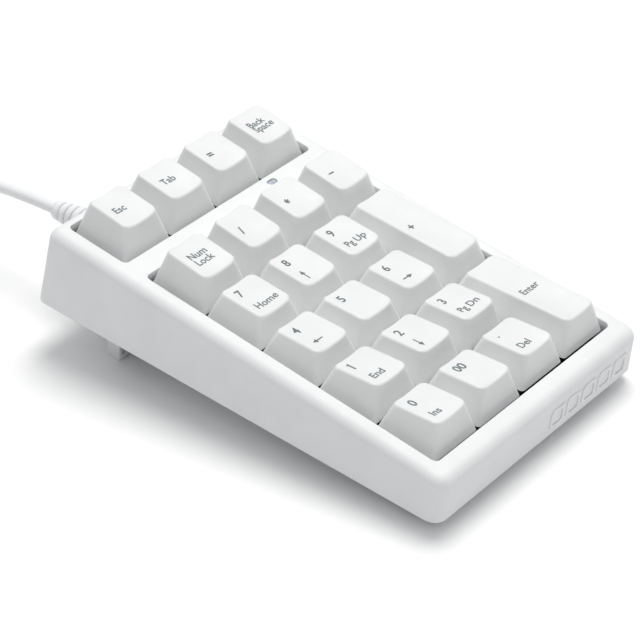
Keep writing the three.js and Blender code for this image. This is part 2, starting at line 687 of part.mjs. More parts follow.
// The tapered boot where the lead leaves the case.  Origin: where the lead crosses the back wall.
function strainRelief() {
  const bore = LEAD_RADIUS + GAP;
  const wallInside = -COVER_WALL - GAP - BOOT_TILT_ROOM;
  const profile = [
    [bore, wallInside - BOOT_FLANGE_THICKNESS],
    [BOOT_FLANGE_RADIUS, wallInside - BOOT_FLANGE_THICKNESS],
    [BOOT_FLANGE_RADIUS, wallInside],
    [BOOT_NECK_RADIUS, wallInside],
    [BOOT_NECK_RADIUS, 1.6],
    [BOOT_WALL_RADIUS, 1.6],
    [BOOT_WALL_RADIUS, 4],
    [BOOT_TIP_RADIUS, BOOT_LENGTH],
    [bore, BOOT_LENGTH],
    [bore, wallInside - BOOT_FLANGE_THICKNESS],
  ];
  return new THREE.LatheGeometry(profile.map(([r, y]) => new THREE.Vector2(r, y)), 16);
}

// A tube along a curve, with flat ends.
function tube(points, radius, steps) {
  const section = new THREE.Shape();
  section.absarc(0, 0, radius, 0, 2 * Math.PI, false);
  const path = new THREE.CatmullRomCurve3(points, false, "centripetal");
  return new THREE.ExtrudeGeometry(section, { steps, extrudePath: path, curveSegments: 4 });
}

const diameter = 2 * LEAD_RADIUS;
const coilOuter = COIL_MEAN_RADIUS + (COIL_TURNS_WIDE / 2) * diameter;
const coilInner = COIL_MEAN_RADIUS - (COIL_TURNS_WIDE / 2) * diameter;
const coilLane = coilOuter - LEAD_RADIUS; // where the outer turns run
const coilHeight = COIL_TURNS_HIGH * diameter;

// The wound lead, the straight stretch that runs into it and the one that leaves it for the plug.
function leadCoil() {
  const profile = [
    [coilInner, 0],
    [coilOuter, 0],
    [coilOuter, coilHeight],
    [coilInner, coilHeight],
    [coilInner, 0],
  ];
  const lathe = new THREE.LatheGeometry(profile.map(([r, z]) => new THREE.Vector2(r, z)), 28);
  const windings = toSolid(lathe.rotateX(Math.PI / 2));
  const leadIn = new THREE.Vector3(-coilLane, -COIL_LEAD_IN, LEAD_RADIUS);
  const tail = new THREE.Vector3(PLUG_TAIL, coilLane, LEAD_RADIUS);
  return joined([
    windings,
    rod(leadIn, leadIn.clone().setY(0), LEAD_RADIUS),
    rod(tail.clone().setX(0), tail, LEAD_RADIUS),
  ]);
}

function plugGrip() {
  const { width, height, length } = PLUG_GRIP;
  const side = (inset, z) =>
    ring({ width: width - 2 * inset, depth: height - 2 * inset, radius: 1.6, z, steps: 2 });
  return loft([side(2, 0), side(0, 6), side(0, length)]);
}

function plugShell() {
  const { width, height, length, wall } = PLUG_SHELL;
  const sleeve = block(width, height, 0, length);
  const mouth = block(width - 2 * wall, height - 2 * wall, 2, length + 1);
  const tongue = block(width - 4 * wall, height / 2.6, 1, length - 1, 0, -height / 6);
  return joined([sleeve.subtract(mouth), tongue]);
}

// ---------------------------------------------------------------- assembly

const numericKeypad = new THREE.Group();
const deck = new THREE.Group();
const body = new THREE.Group();
numericKeypad.add(body);
body.add(deck);
deck.rotation.x = DECK_ANGLE;

function addToDeck(name, solid, material, x = 0, y = 0, z = 0) {
  const mesh = makeMesh(name, toGeometry(solid), material);
  mesh.position.set(x, y, z);
  deck.add(mesh);
}

addToDeck("top_cover", topCover(), CASE_PLASTIC);
addToDeck("bottom_case", bottomCase(), CASE_PLASTIC);
addToDeck("switch_plate", switchPlate(), STEEL);
addToDeck("circuit_board", circuitBoard(), BOARD);
addToDeck("num_lock_lamp", lampLens(), LAMP);

for (const { name, units, sculpt, x, y } of keyPlaces) {
  addToDeck(`key_${name}`, keycap({ units, sculpt }), CAP_PLASTIC, x, y, capFoot);
  addToDeck(`switch_${name}`, switchHousing(), SWITCH_PLASTIC, x, y, plateTop);
}
for (const { name, x, y } of tallKeys) {
  addToDeck(`${name}_stabiliser_wire`, stabiliserWire(), STEEL, x - WIRE_OFFSET, y, plateTop);
}
for (const [side, hand] of [[-1, "left"], [1, "right"]]) {
  addToDeck(`front_${hand}_rubber_foot`, rubberFoot(side), RUBBER);
  const foot = makeMesh(`${hand}_tilt_foot`, toGeometry(tiltFoot()), FOOT_PLASTIC);
  foot.position.set(side * tiltFootX, tiltHinge.y, tiltHinge.z);
  body.add(foot);
}

// The middle of the standing keypad, feet on the table, is the origin.
const outline = new THREE.Box3().setFromObject(body, true);
const middleY = (outline.min.y + outline.max.y) / 2;
body.position.set(0, -middleY, -tableDrop);

const exit = onTable(caseBack, -LEAD_DROP);
const exitPoint = new THREE.Vector3(LEAD_X, exit.y - middleY, exit.z - tableDrop);
const boot = makeMesh("cable_strain_relief", strainRelief(), LEAD_JACKET);
boot.position.copy(exitPoint);
numericKeypad.add(boot);

// The lead runs level out of the boot, comes down to the table and meets its coil.
const LEAD_ROUTE = [
  [-20, 61.3, 26.7],
  [-20, 72, 26.7],
  [-20, 84, 26.7],
  [-20, 96, 26.4],
  [-20, 108, 25.2],
  [-20.6, 120, 22],
  [-23.2, 132, 16.4],
  [-27.4, 143, 10.4],
  [-31.8, 153.5, 5.2],
  [-34.7, 163, 2.3],
  [-35.25, 171.7, 1.8],
];
const routePoints = LEAD_ROUTE.map(([x, y, z]) => new THREE.Vector3(x, y, z));
numericKeypad.add(makeMesh("usb_cable", tube(routePoints, LEAD_RADIUS, 30), LEAD_JACKET));

// The coil's straight lead-in meets the end of that stretch.
const routeEnd = routePoints.at(-1);
const coilX = routeEnd.x + coilLane;
const coilY = routeEnd.y + GAP + COIL_LEAD_IN;
const coil = makeMesh("cable_coil", toGeometry(leadCoil()), LEAD_JACKET);
coil.position.set(coilX, coilY, 0);
numericKeypad.add(coil);

// The plug lies flat, pointing to the right, where the lead leaves the back of the coil.
const plugX = coilX + PLUG_TAIL + GAP;
const plugY = coilY + coilLane;
const grip = makeMesh("usb_plug_grip", toGeometry(plugGrip()), LEAD_JACKET);
grip.position.set(plugX, plugY, PLUG_GRIP.height / 2);
const shell = makeMesh("usb_plug_shell", toGeometry(plugShell()), PLUG_STEEL);
shell.position.set(plugX + PLUG_GRIP.length + GAP, plugY, PLUG_GRIP.height / 2);
for (const piece of [grip, shell]) {
  piece.rotation.set(0, Math.PI / 2, Math.PI / 2);
}
numericKeypad.add(grip, shell);

export default numericKeypad;
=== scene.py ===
"""Numeric keypad: keycaps, legends, case, feet and lead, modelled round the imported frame."""

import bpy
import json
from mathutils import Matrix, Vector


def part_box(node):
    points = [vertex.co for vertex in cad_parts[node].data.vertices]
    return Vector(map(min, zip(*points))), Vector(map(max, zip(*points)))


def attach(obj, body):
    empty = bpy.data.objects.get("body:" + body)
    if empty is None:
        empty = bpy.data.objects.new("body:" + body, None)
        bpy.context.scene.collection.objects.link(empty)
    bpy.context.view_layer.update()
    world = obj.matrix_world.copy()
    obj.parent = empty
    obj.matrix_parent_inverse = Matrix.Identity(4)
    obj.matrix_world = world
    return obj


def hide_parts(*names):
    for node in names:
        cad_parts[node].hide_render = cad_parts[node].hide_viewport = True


bl_info = {
    "name": "Numeric Keypad",
    "version": (1, 0, 0),
    "blender": (4, 5, 0),
    "location": "3D View > Sidebar > Keypad",
    "description": "Builds the fine pieces, finishes and stage of a numeric keypad",
    "category": "Object",
}

import json
import math

import bmesh
import bpy
from bpy.props import FloatProperty, FloatVectorProperty, IntProperty, PointerProperty
from mathutils import Matrix, Vector

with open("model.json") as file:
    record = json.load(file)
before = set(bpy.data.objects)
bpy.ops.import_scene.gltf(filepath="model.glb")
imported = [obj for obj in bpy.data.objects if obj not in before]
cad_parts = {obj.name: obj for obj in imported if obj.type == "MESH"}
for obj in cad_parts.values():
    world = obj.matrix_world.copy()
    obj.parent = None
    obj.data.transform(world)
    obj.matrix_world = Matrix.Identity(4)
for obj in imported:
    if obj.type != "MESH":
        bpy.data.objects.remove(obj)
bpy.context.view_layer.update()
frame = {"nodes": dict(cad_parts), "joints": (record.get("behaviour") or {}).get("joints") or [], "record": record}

MM = 0.001
MERGE = 1e-7  # points nearer than this are one, in metres
FLAT = 1e-6  # how level a face or an edge is held to be, in metres

# ---- the deck frame
# The keys and the case lie in the deck frame: x right, y back from the middle of the front key row,
# z up from the flat top of the case.


def joint(name):
    return next(row for row in frame["joints"] if row["name"] == name)


UP = -Vector(joint("press_0")["axis"]).normalized()
RIGHT = Vector((1.0, 0.0, 0.0))
BACK = UP.cross(RIGHT)
DECK_TURN = Matrix((RIGHT, BACK, UP)).transposed()


def turned_box(node, turn):
    """The lowest and highest corner of a frame node along three turned axes."""
    points = [turn.inverted() @ vertex.co for vertex in frame["nodes"][node].data.vertices]
    low = Vector([min(point[axis] for point in points) for axis in range(3)])
    high = Vector([max(point[axis] for point in points) for axis in range(3)])
    return low, high


FIRST_KEY = turned_box("key_0", DECK_TURN)
DECK_TOP = turned_box("num_lock_lamp", DECK_TURN)[1].z
DECK_ORIGIN = Vector((0.0, (FIRST_KEY[0].y + FIRST_KEY[1].y) / 2, DECK_TOP))
DECK = Matrix.Translation(DECK_TURN @ DECK_ORIGIN) @ DECK_TURN.to_4x4()


def deck_box(node):
    """The lowest and highest corner of a frame node in the deck frame."""
    low, high = turned_box(node, DECK_TURN)
    return low - DECK_ORIGIN, high - DECK_ORIGIN


# The underside frame: z up from the flat bottom of the case, into the case.
UNDERSIDE = next(mount for mount in frame["record"]["mounts"] if mount["name"] == "case_underside")
UNDER_UP = -Vector(UNDERSIDE["axis"]).normalized()
UNDER_TURN = Matrix((RIGHT, UNDER_UP.cross(RIGHT), UNDER_UP)).transposed()
UNDER = Matrix.Translation(UNDERSIDE["pos_m"]) @ UNDER_TURN.to_4x4()
WEDGE = UP.angle(UNDER_UP)


# ---- sizes and colours

# the height of a key's top above the deck, in mm, and its slope in degrees: positive rises to the back
SCULPT = {
    "front": (6.25, -9.3),
    "low": (5.57, -5.2),
    "middle": (5.85, -0.9),
    "high": (7.7, 3.1),
    "tall_plus": (5.75, -2.6),
    "tall_enter": (6.2, -6.8),
}

UP_ARROW, DOWN_ARROW, LEFT_ARROW, RIGHT_ARROW = 90, -90, 180, 0

# key: sculpt, first legend, second legend; a number is an arrow's direction in degrees
KEYS = {
    "esc": ("high", "Esc", None),
    "tab": ("high", "Tab", None),
    "equals": ("high", "=", None),
    "backspace": ("high", "Back\nSpace", None),
    "num_lock": ("high", "Num\nLock", None),
    "divide": ("high", "/", None),
    "multiply": ("high", "*", None),
    "minus": ("high", "\u2013", None),
    "7": ("middle", "7", "Home"),
    "8": ("middle", "8", UP_ARROW),
    "9": ("middle", "9", "Pg Up"),
    "4": ("low", "4", LEFT_ARROW),
    "5": ("low", "5", None),
    "6": ("low", "6", RIGHT_ARROW),
    "plus": ("tall_plus", "+", None),
    "1": ("front", "1", "End"),
    "2": ("front", "2", DOWN_ARROW),
    "3": ("front", "3", "Pg Dn"),
    "0": ("front", "0", "Ins"),
    "00": ("front", "00", None),
    "point": ("front", ".", "Del"),
    "enter": ("tall_enter", "Enter", None),
}


def length(name, description, millimetres):
    return FloatProperty(name=name, description=description, default=millimetres * MM, unit="LENGTH")


def colour(name, description, value):
    return FloatVectorProperty(
        name=name, description=description, default=value, subtype="COLOR", size=3, min=0.0, max=1.0
    )


class KeycapSizes(bpy.types.PropertyGroup):
    taper_width: length("Taper across", "How much narrower the top is than the skirt", 5.33)
    taper_depth: length("Taper along", "How much shorter the top is than the skirt", 3.86)
    setback: length("Setback", "How far the top sits behind the middle of the skirt", 0.9)
    corner: length("Corner radius", "Rounding of the four upright edges", 2.2)
    base_corner: length("Base corner", "Rounding of the skirt in plan at its foot", 1.1)
    rim: length("Rim rounding", "Rounding between the top and the sides", 0.55)
    dish: length("Dish", "Depth of the hollow across the top", 0.8)
    wall: length("Wall", "Thickness of the sides", 1.3)
    roof: length("Roof", "Thickness of the top", 1.0)
    foot: length("Foot", "Height of the skirt's lower edge against the deck", -2.1)
    high_foot: length("Foot over a bridge", "Height of a skirt that passes over a stabiliser bridge", -1.65)


class LegendSizes(bpy.types.PropertyGroup):
    digit: length("Digit size", "Type size of the digits", 3.9)
    word: length("Word size", "Type size of the words", 3.25)
    margin: length("Left margin", "From the middle of the key's top to the left end of the print", -3.35)
    upper: length("Upper line", "Middle of the digits behind the middle of the top", 3.4)
    lower: length("Lower line", "Middle of the second legend behind the middle of the top", -3.1)
    line: length("Line spacing", "Between two lines of words", 2.75)
    arrow: length("Arrow", "Length of an arrow", 3.8)
    stroke: length("Stroke", "Width of an arrow's line", 0.34)
    ink: length("Ink", "Thickness of the print", 0.03)


class CaseSizes(bpy.types.PropertyGroup):
    side_border: length("Side border", "From the wells to the side of the case", 5.46)
    front_border: length("Front border", "From the number well to the front of the case", 6.75)
    back_border: length("Back border", "From the function well to the back of the case", 3.58)
    front_height: length("Front height", "From the deck to the cover's lower edge at the front", 13.4)
    tray_drop: length("Tray drop", "From the cover's lower edge to the underside", 2.9)
    tray_lip: length("Tray lip", "Tray wall inside the cover", 4.0)
    tray_wall: length("Tray wall", "Thickness of the tray", 1.5)
    gap: length("Gap", "Clearance between pieces that touch", 0.3)
    corner: length("Corner radius", "Rounding of the case in plan", 3.9)
    rim: length("Rim radius", "Rounding of the top outer edge", 3.0)
    wall: length("Wall", "Thickness of the cover", 2.2)
    well_clearance: length("Well clearance", "From the outer key skirts to the well", 1.365)
    well_corner: length("Well corner", "Rounding of the wells in plan", 1.5)
    well_edge: length("Well edge", "Rounding of the wells' upper edges", 0.25)
    skirt: length("Skirt", "Depth of the walls round the wells", 6.8)
    skirt_wall: length("Skirt wall", "Thickness of the walls round the wells", 1.0)
    lead_hole: length("Lead hole", "Radius of the hole that the boot sits in", 3.7)
    draft: FloatProperty(
        name="Draft", description="Slope of the outer walls", default=math.radians(2.5), subtype="ANGLE"
    )


class LeadSizes(bpy.types.PropertyGroup):
    radius: length("Radius", "Half the thickness of the lead", 1.75)
    whole: length("Length", "Length of the whole lead", 1500)
    turn_points: IntProperty(name="Points", description="Points on each turn of the coil", default=16, min=12)


class Colours(bpy.types.PropertyGroup):
    key: colour("Keys", "Keycap plastic", (0.765, 0.773, 0.772))
    case: colour("Case", "Case plastic", (0.785, 0.792, 0.8))
    ink: colour("Ink", "Print on the keys", (0.1, 0.125, 0.14))
    lead: colour("Lead", "Jacket, boot and grip", (0.80, 0.81, 0.82))
    rubber: colour("Rubber", "Pads under the case", (0.55, 0.56, 0.57))
    lamp: colour("Lamp", "Lens of the lamp", (0.27, 0.295, 0.33))
    board: colour("Board", "Solder mask", (0.02, 0.12, 0.05))
    switch: colour("Switch", "Switch housings", (0.012, 0.012, 0.014))
    floor: colour("Floor", "Table top", (0.93, 0.93, 0.93))


class KeypadSettings(bpy.types.PropertyGroup):
    keycap: PointerProperty(type=KeycapSizes, name="Keycaps", description="Keycap sizes")
    legend: PointerProperty(type=LegendSizes, name="Legends", description="Print on the keys")
    case: PointerProperty(type=CaseSizes, name="Case", description="Case sizes")
    lead: PointerProperty(type=LeadSizes, name="Lead", description="Lead sizes")
    colours: PointerProperty(type=Colours, name="Colours", description="Finish colours")


# ---- finishes


def fill(tree, node, inputs):
    """Fills a node's inputs: an output is linked to its input, and a plain value is stored."""
    for name, value in inputs.items():
        if isinstance(value, bpy.types.NodeSocket):
            tree.links.new(value, node.inputs[name])
        else:
            node.inputs[name].default_value = value
    return node


def shade(value, factor):
    return tuple(min(1.0, channel * factor) for channel in value)


class Finish:
    """A material being made: its base colour, node tree, shader and object coordinates."""

    def __init__(self, name, base):
        self.material = bpy.data.materials.new(name)
        self.material.use_nodes = True
        self.tree = self.material.node_tree
        self.base = tuple(base)
        self.place = self.node("TexCoord").outputs["Object"]

    def node(self, kind, **inputs):
        return fill(self.tree, self.tree.nodes.new(f"ShaderNode{kind}"), inputs)

    def noise(self, scale, detail=3.0, roughness=0.55, place=None):
        place = self.place if place is None else place
        made = self.node("TexNoise", Vector=place, Scale=scale, Detail=detail, Roughness=roughness)
        return made.outputs["Fac"]

    def waves(self, scale, distortion):
        made = self.node("TexWave", Vector=self.place, Scale=scale, Distortion=distortion)
        return made.outputs["Fac"]

    def ramp(self, pattern, low, high, start=0.35, end=0.65):
        """Maps a pattern to a colour or grey between two values."""
        made = self.node("ValToRGB", Fac=pattern)
        for stop, place, value in zip(made.color_ramp.elements, (start, end), (low, high)):
            stop.position = place
            stop.color = (*value, 1.0) if isinstance(value, tuple) else (value, value, value, 1.0)
        return made.outputs["Color"]

    def tint(self, pattern, low, high, *stops):
        """Maps a pattern to a colour between two shades of the base."""
        return self.ramp(pattern, shade(self.base, low), shade(self.base, high), *stops)

    def done(self, colour, roughness, relief=None, depth=0.0, **more):
        """Joins the patterns to the shader, with a relief of a depth in metres."""
        inputs = {"Base Color": colour, "Roughness": roughness}
        inputs.update({name.replace("_", " "): value for name, value in more.items()})
        if relief is not None:
            inputs["Normal"] = self.node("Bump", Height=relief, Distance=depth).outputs["Normal"]
        fill(self.tree, self.tree.nodes["Principled BSDF"], inputs)
        return self.material


def moulded_plastic(name, base, roughness, grain, grain_depth, mottle=0.015):
    """Matte moulded plastic: spark-eroded grain, faint mottling and uneven gloss."""
    made = Finish(name, base)
    colour = made.tint(made.noise(90.0, 2.0), 1.0 - mottle, 1.0 + mottle)
    gloss = made.ramp(made.noise(260.0), roughness - 0.05, roughness + 0.06)
    return made.done(colour, gloss, made.noise(grain, 4.0, 0.7), grain_depth)


def rolled_metal(name, base, roughness):
    """Rolled metal with fine parallel lines and dull patches."""
    made = Finish(name, base)
    stretched = made.node("Mapping", Vector=made.place, Scale=(30.0, 900.0, 900.0))
    lines = made.noise(2.0, 5.0, place=stretched.outputs["Vector"])
    patches = made.ramp(made.noise(200.0), roughness - 0.06, roughness + 0.1)
    return made.done(made.tint(lines, 0.85, 1.0), patches, lines, 4e-6, Metallic=1.0)


def printed_ink(name, base):
    """Flat print with a slightly uneven cover."""
    made = Finish(name, base)
    return made.done(made.tint(made.noise(5200.0), 1.0, 1.7), 0.6)


def rubber(name, base):
    """Dull rubber with dust in its pores."""
    made = Finish(name, base)
    dust = made.noise(700.0, 6.0, 0.7)
    return made.done(made.tint(dust, 0.82, 1.12), 0.85, made.noise(2600.0), 2e-5)


def lens(name, base):
    """Tinted lamp lens with a frosted body."""
    made = Finish(name, base)
    return made.done(made.tint(made.noise(900.0), 1.0, 1.8), 0.18, Coat_Weight=0.5)


def solder_mask(name, base):
    """Glossy board lacquer over faint copper tracks."""
    made = Finish(name, base)
    tracks = made.waves(140.0, 6.0)
    return made.done(made.tint(tracks, 1.0, 1.9, 0.55, 0.62), 0.3, tracks, 1e-5)


def woven_strap(name, base):
    """Soft hook-and-loop strap: a fine two-way weave with loose fibre."""
    made = Finish(name, base)
    weave = made.waves(900.0, 1.5)
    return made.done(made.tint(weave, 0.6, 1.0, 0.3, 0.7), 0.9, weave, 8e-5, Sheen_Weight=0.4)


def paper_floor(name, base):
    """Pale matte sweep."""
    made = Finish(name, base)
    return made.done(made.tint(made.noise(60.0), 0.995, 1.005), 0.9)


MATERIALS = {}


def material(key):
    """A finish of the keypad, made once from the scene's colours."""
    if key not in MATERIALS:
        colours = bpy.context.scene.keypad.colours
        makers = {
            "key": (moulded_plastic, "key_plastic_fine", colours.key, 0.5, 5200.0, 1.2e-5),
            "case": (moulded_plastic, "case_plastic_fine", colours.case, 0.56, 3600.0, 2.5e-5),
            "foot": (moulded_plastic, "foot_plastic_fine", colours.case, 0.5, 3600.0, 1.5e-5),
            "switch": (moulded_plastic, "switch_plastic_fine", colours.switch, 0.4, 4200.0, 1e-5, 0.1),
            "lead": (moulded_plastic, "lead_jacket_fine", colours.lead, 0.45, 2200.0, 1e-5),
            "label": (moulded_plastic, "label_film", (0.7, 0.71, 0.72), 0.35, 900.0, 2e-6),
            "ink": (printed_ink, "key_ink", colours.ink),
            "rubber": (rubber, "pad_rubber", colours.rubber),
            "lamp": (lens, "lamp_lens_fine", colours.lamp),
            "board": (solder_mask, "board_lacquer", colours.board),
            "plate": (rolled_metal, "plate_steel_fine", (0.05, 0.05, 0.055), 0.4),
            "steel": (rolled_metal, "bright_steel", (0.62, 0.63, 0.65), 0.25),
            "wire": (rolled_metal, "wire_steel_fine", (0.5, 0.5, 0.52), 0.3),
            "strap": (woven_strap, "strap_weave", (0.5, 0.51, 0.52)),
            "floor": (paper_floor, "pale_floor", colours.floor),
        }
        maker, *values = makers[key]
        MATERIALS[key] = maker(*values)
    return MATERIALS[key]


# ---- modelling helpers

SHARP_ANGLE = math.radians(32.0)  # edges that turn more than this are shaded sharp


def move(bm, matrix):
    bmesh.ops.transform(bm, matrix=matrix, verts=bm.verts)


def to_mesh(bm, name):
    """Turns a bmesh into a mesh and frees it."""
    mesh = bpy.data.meshes.new(name)
    bm.to_mesh(mesh)
    bm.free()
    return mesh


def add_object(name, data):
    """Adds an object to the scene."""
    made = bpy.data.objects.new(name, data)
    bpy.context.scene.collection.objects.link(made)
    return made


def evaluated_bmesh(source):
    """A bmesh of an object as its modifier or its text makes it."""
    evaluated = source.evaluated_get(bpy.context.evaluated_depsgraph_get())
    bm = bmesh.new()
    bm.from_mesh(evaluated.to_mesh())
    evaluated.to_mesh_clear()
    return bm


def bevel(bm, edges, offset, segments):
    return bmesh.ops.bevel(
        bm,
        geom=list(edges),
        offset=offset,
        offset_type="OFFSET",
        segments=segments,
        profile=0.5,
        affect="EDGES",
        material=-1,
        clamp_overlap=True,
    )


def add_block(bm, low, high):
    """Adds a box between two corners and returns its vertices."""
    low, high = Vector(low), Vector(high)
    size = Matrix.Diagonal((*(high - low), 1.0))
    place = Matrix.Translation((low + high) / 2) @ size
    return bmesh.ops.create_cube(bm, size=1.0, matrix=place)["verts"]


def add_bar(bm, start, end, radius, segments=24):
    """Adds a round bar between two points and returns its vertices."""
    start, end = Vector(start), Vector(end)
    along = end - start
    turn = along.to_track_quat("Z", "Y").to_matrix().to_4x4()
    place = Matrix.Translation((start + end) / 2) @ turn
    made = bmesh.ops.create_cone(
        bm, cap_ends=True, segments=segments, radius1=radius, radius2=radius, depth=along.length, matrix=place
    )
    return made["verts"]


def edges_between(verts):
    """The edges that join any two of these vertices."""
    chosen = set(verts)
    return [edge for edge in {e for v in chosen for e in v.link_edges} if set(edge.verts) <= chosen]


def span(edge, axis):
    """How far an edge reaches along an axis."""
    return abs(edge.verts[0].co[axis] - edge.verts[1].co[axis])


def is_upright(edge, share=0.6):
    return edge.calc_length() > 0 and span(edge, 2) > share * edge.calc_length()


def is_level(item, height):
    """Whether an edge or a face lies at a height."""
    return all(abs(vertex.co.z - height) < FLAT for vertex in item.verts)


def bisect(bm, geom, point, normal, clear_outer=False):
    """Cuts by a plane, and can remove what lies past it; returns the faces that are left."""
    cut = bmesh.ops.bisect_plane(
        bm, geom=geom, dist=MERGE, plane_co=point, plane_no=normal, clear_outer=clear_outer
    )
    return [item for item in cut["geom"] if isinstance(item, bmesh.types.BMFace)]


def everything(bm):
    return bm.verts[:] + bm.edges[:] + bm.faces[:]


def rounded_block(bm, low, high, corner, edge=0.0, segments=6):
    """Adds a block with rounded upright edges and softened upper and lower edges."""
    verts = add_block(bm, low, high)
    sides = [e for e in edges_between(verts) if is_upright(e)]
    made = bevel(bm, sides, corner, segments)
    if edge > 0:
        ring = {f for v in made["verts"] for f in v.link_faces}
        levels = {e for f in ring for e in f.edges if is_level(e, low[2]) or is_level(e, high[2])}
        bevel(bm, levels, edge, 3)


def spun(bm, profile, steps=48):
    """Turns a closed profile of (radius, height) points about the Z axis."""
    verts = [bm.verts.new((radius, 0.0, height)) for radius, height in profile]
    edges = [bm.edges.new((verts[i], verts[(i + 1) % len(verts)])) for i in range(len(verts))]
    bmesh.ops.spin(
        bm,
        geom=verts + edges,
        cent=(0, 0, 0),
        axis=(0, 0, 1),
        angle=2 * math.pi,
        steps=steps,
        use_merge=True,
    )
    bmesh.ops.recalc_face_normals(bm, faces=bm.faces)


def merge_into(bm, other, shift=(0, 0, 0)):
    """Adds another bmesh to this one, moved by a vector, and frees it."""
    move(other, Matrix.Translation(shift))
    mesh = to_mesh(other, "part")
    bm.from_mesh(mesh)
    bpy.data.meshes.remove(mesh)


def to_piece(name, bm, finish, body, replaced=(), place=None):
    """Turns a bmesh into a piece that rides on a body, with its place in its mesh."""
    if place is not None:
        move(bm, place)
    mesh = to_mesh(bm, name)
    mesh.shade_smooth()
    mesh.set_sharp_from_angle(angle=SHARP_ANGLE)
    mesh.materials.append(material(finish))
    piece = add_object(name, mesh)
    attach(piece, body)
    if replaced:
        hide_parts(*replaced)
    return piece


def cut_mesh(bm, cutter, operation="DIFFERENCE"):
    """Cuts one bmesh by another, or joins them, and returns the result as a new bmesh."""
    parts = [add_object("part", to_mesh(part, "part")) for part in (bm, cutter)]
    modifier = parts[0].modifiers.new("boolean", "BOOLEAN")
    modifier.operation = operation
    modifier.object = parts[1]
    modifier.solver = "EXACT"
    result = evaluated_bmesh(parts[0])
    for part in parts:
        mesh = part.data
        bpy.data.objects.remove(part)
        bpy.data.meshes.remove(mesh)
    return result


# ---- keys


SKIRT_LINE = -1.4 * MM  # where the skirt has the size of the frame's key
CORNER_REACH = 1.3  # corner radii from a base corner in which its vertices lie
DISH_STEPS = 10
DISH_ENDS = 2.4  # corner radii at the ends of the dish that its cuts leave out
OVER_BRIDGES = {"9", "6", "3", "point", "plus", "enter"}


class KeyPlace:
    """Where one key stands in the deck frame, and how its top is shaped."""

    def __init__(self, name, sizes):
        sculpt, self.first, self.second = KEYS[name]
        low, high = deck_box(f"key_{name}")
        self.place = DECK @ Matrix.Translation(((low.x + high.x) / 2, (low.y + high.y) / 2, 0))
        self.height = SCULPT[sculpt][0] * MM
        self.top_width = high.x - low.x - sizes.taper_width
        self.top_depth = high.y - low.y - sizes.taper_depth
        self.top_y = sizes.setback
        self.foot = sizes.high_foot if name in OVER_BRIDGES else sizes.foot
        reach = (self.height - self.foot) / (self.height - SKIRT_LINE)
        self.base_width = self.top_width + reach * sizes.taper_width
        self.base_depth = self.top_depth + reach * sizes.taper_depth
        self.slant = math.tan(math.radians(SCULPT[sculpt][1]))
        self.dish = sizes.dish
        self.slider_foot = low.z

    def plane(self, y):
        """Height of the undished top at a distance from the middle of the skirt."""
        return self.height + (y - self.top_y) * self.slant

    def surface(self, x, y):
        across = min(1.0, abs(2 * x / self.top_width))
        return self.plane(y) - self.dish * (1 - across * across)


def keycap_mesh(key, sizes):
    """A hollow keycap: its corners, its dish and rim, its inside and its stem."""
    bm = bmesh.new()
    for vertex in bmesh.ops.create_cube(bm, size=1.0)["verts"]:
        sign_x, sign_y = math.copysign(1, vertex.co.x), math.copysign(1, vertex.co.y)
        if vertex.co.z > 0:
            y = key.top_y + sign_y * key.top_depth / 2
            vertex.co = (sign_x * key.top_width / 2, y, key.plane(y))
        else:
            vertex.co = (sign_x * key.base_width / 2, sign_y * key.base_depth / 2, key.foot)
    bevel(bm, [edge for edge in bm.edges if is_upright(edge)], sizes.corner, 6)
    half = Vector((key.base_width / 2, key.base_depth / 2))
    tighten = sizes.base_corner / sizes.corner
    for vertex in (v for v in bm.verts if v.co.z < 0):
        across, along = (half[axis] - abs(vertex.co[axis]) for axis in (0, 1))
        if max(across, along) < sizes.corner * CORNER_REACH:
            vertex.co.x = math.copysign(half.x - across * tighten, vertex.co.x)
            vertex.co.y = math.copysign(half.y - along * tighten, vertex.co.y)

    straight = key.top_width - DISH_ENDS * sizes.corner
    for step in range(DISH_STEPS + 1):
        bisect(bm, everything(bm), ((step / DISH_STEPS - 0.5) * straight, 0, 0), (1, 0, 0))
    top = [v for v in bm.verts if abs(v.co.z - key.plane(v.co.y)) < FLAT and v.co.z > 0]
    for vertex in top:
        vertex.co.z = key.surface(vertex.co.x, vertex.co.y)
    crown = {face for face in bm.faces if set(face.verts) <= set(top)}
    rim = [edge for edge in bm.edges if len(crown & set(edge.link_faces)) == 1]
    bevel(bm, rim, sizes.rim, 4)

    sole = [face for face in bm.faces if is_level(face, key.foot)]
    bmesh.ops.inset_region(bm, faces=sole, thickness=sizes.wall, use_even_offset=True)
    grown = bmesh.ops.extrude_face_region(bm, geom=sole)["geom"]
    bmesh.ops.delete(bm, geom=[face for face in sole if face.is_valid], context="FACES_ONLY")
    ceiling = key.height - sizes.dish - sizes.roof
    rise = (ceiling - key.foot) / (key.height - key.foot)
    shrink_x = 1 - rise * sizes.taper_width / (key.base_width - 2 * sizes.wall)
    shrink_y = 1 - rise * sizes.taper_depth / (key.base_depth - 2 * sizes.wall)
    for vertex in (item for item in grown if isinstance(item, bmesh.types.BMVert)):
        y = vertex.co.y * shrink_y + rise * key.top_y
        vertex.co = (vertex.co.x * shrink_x, y, ceiling + (y - key.top_y) * key.slant)
    add_stem(bm, key, ceiling)
    return bm


STEM_RADIUS = 2.75 * MM
STEM_FOOT = -0.1 * MM
SLIDER_SIZE = (6.4 * MM, 5.2 * MM)
SLIDER_TOP = STEM_FOOT + MM
CROSS_ARM = (4.1 * MM, 1.3 * MM)
CROSS_TOP = STEM_FOOT + 2 * MM


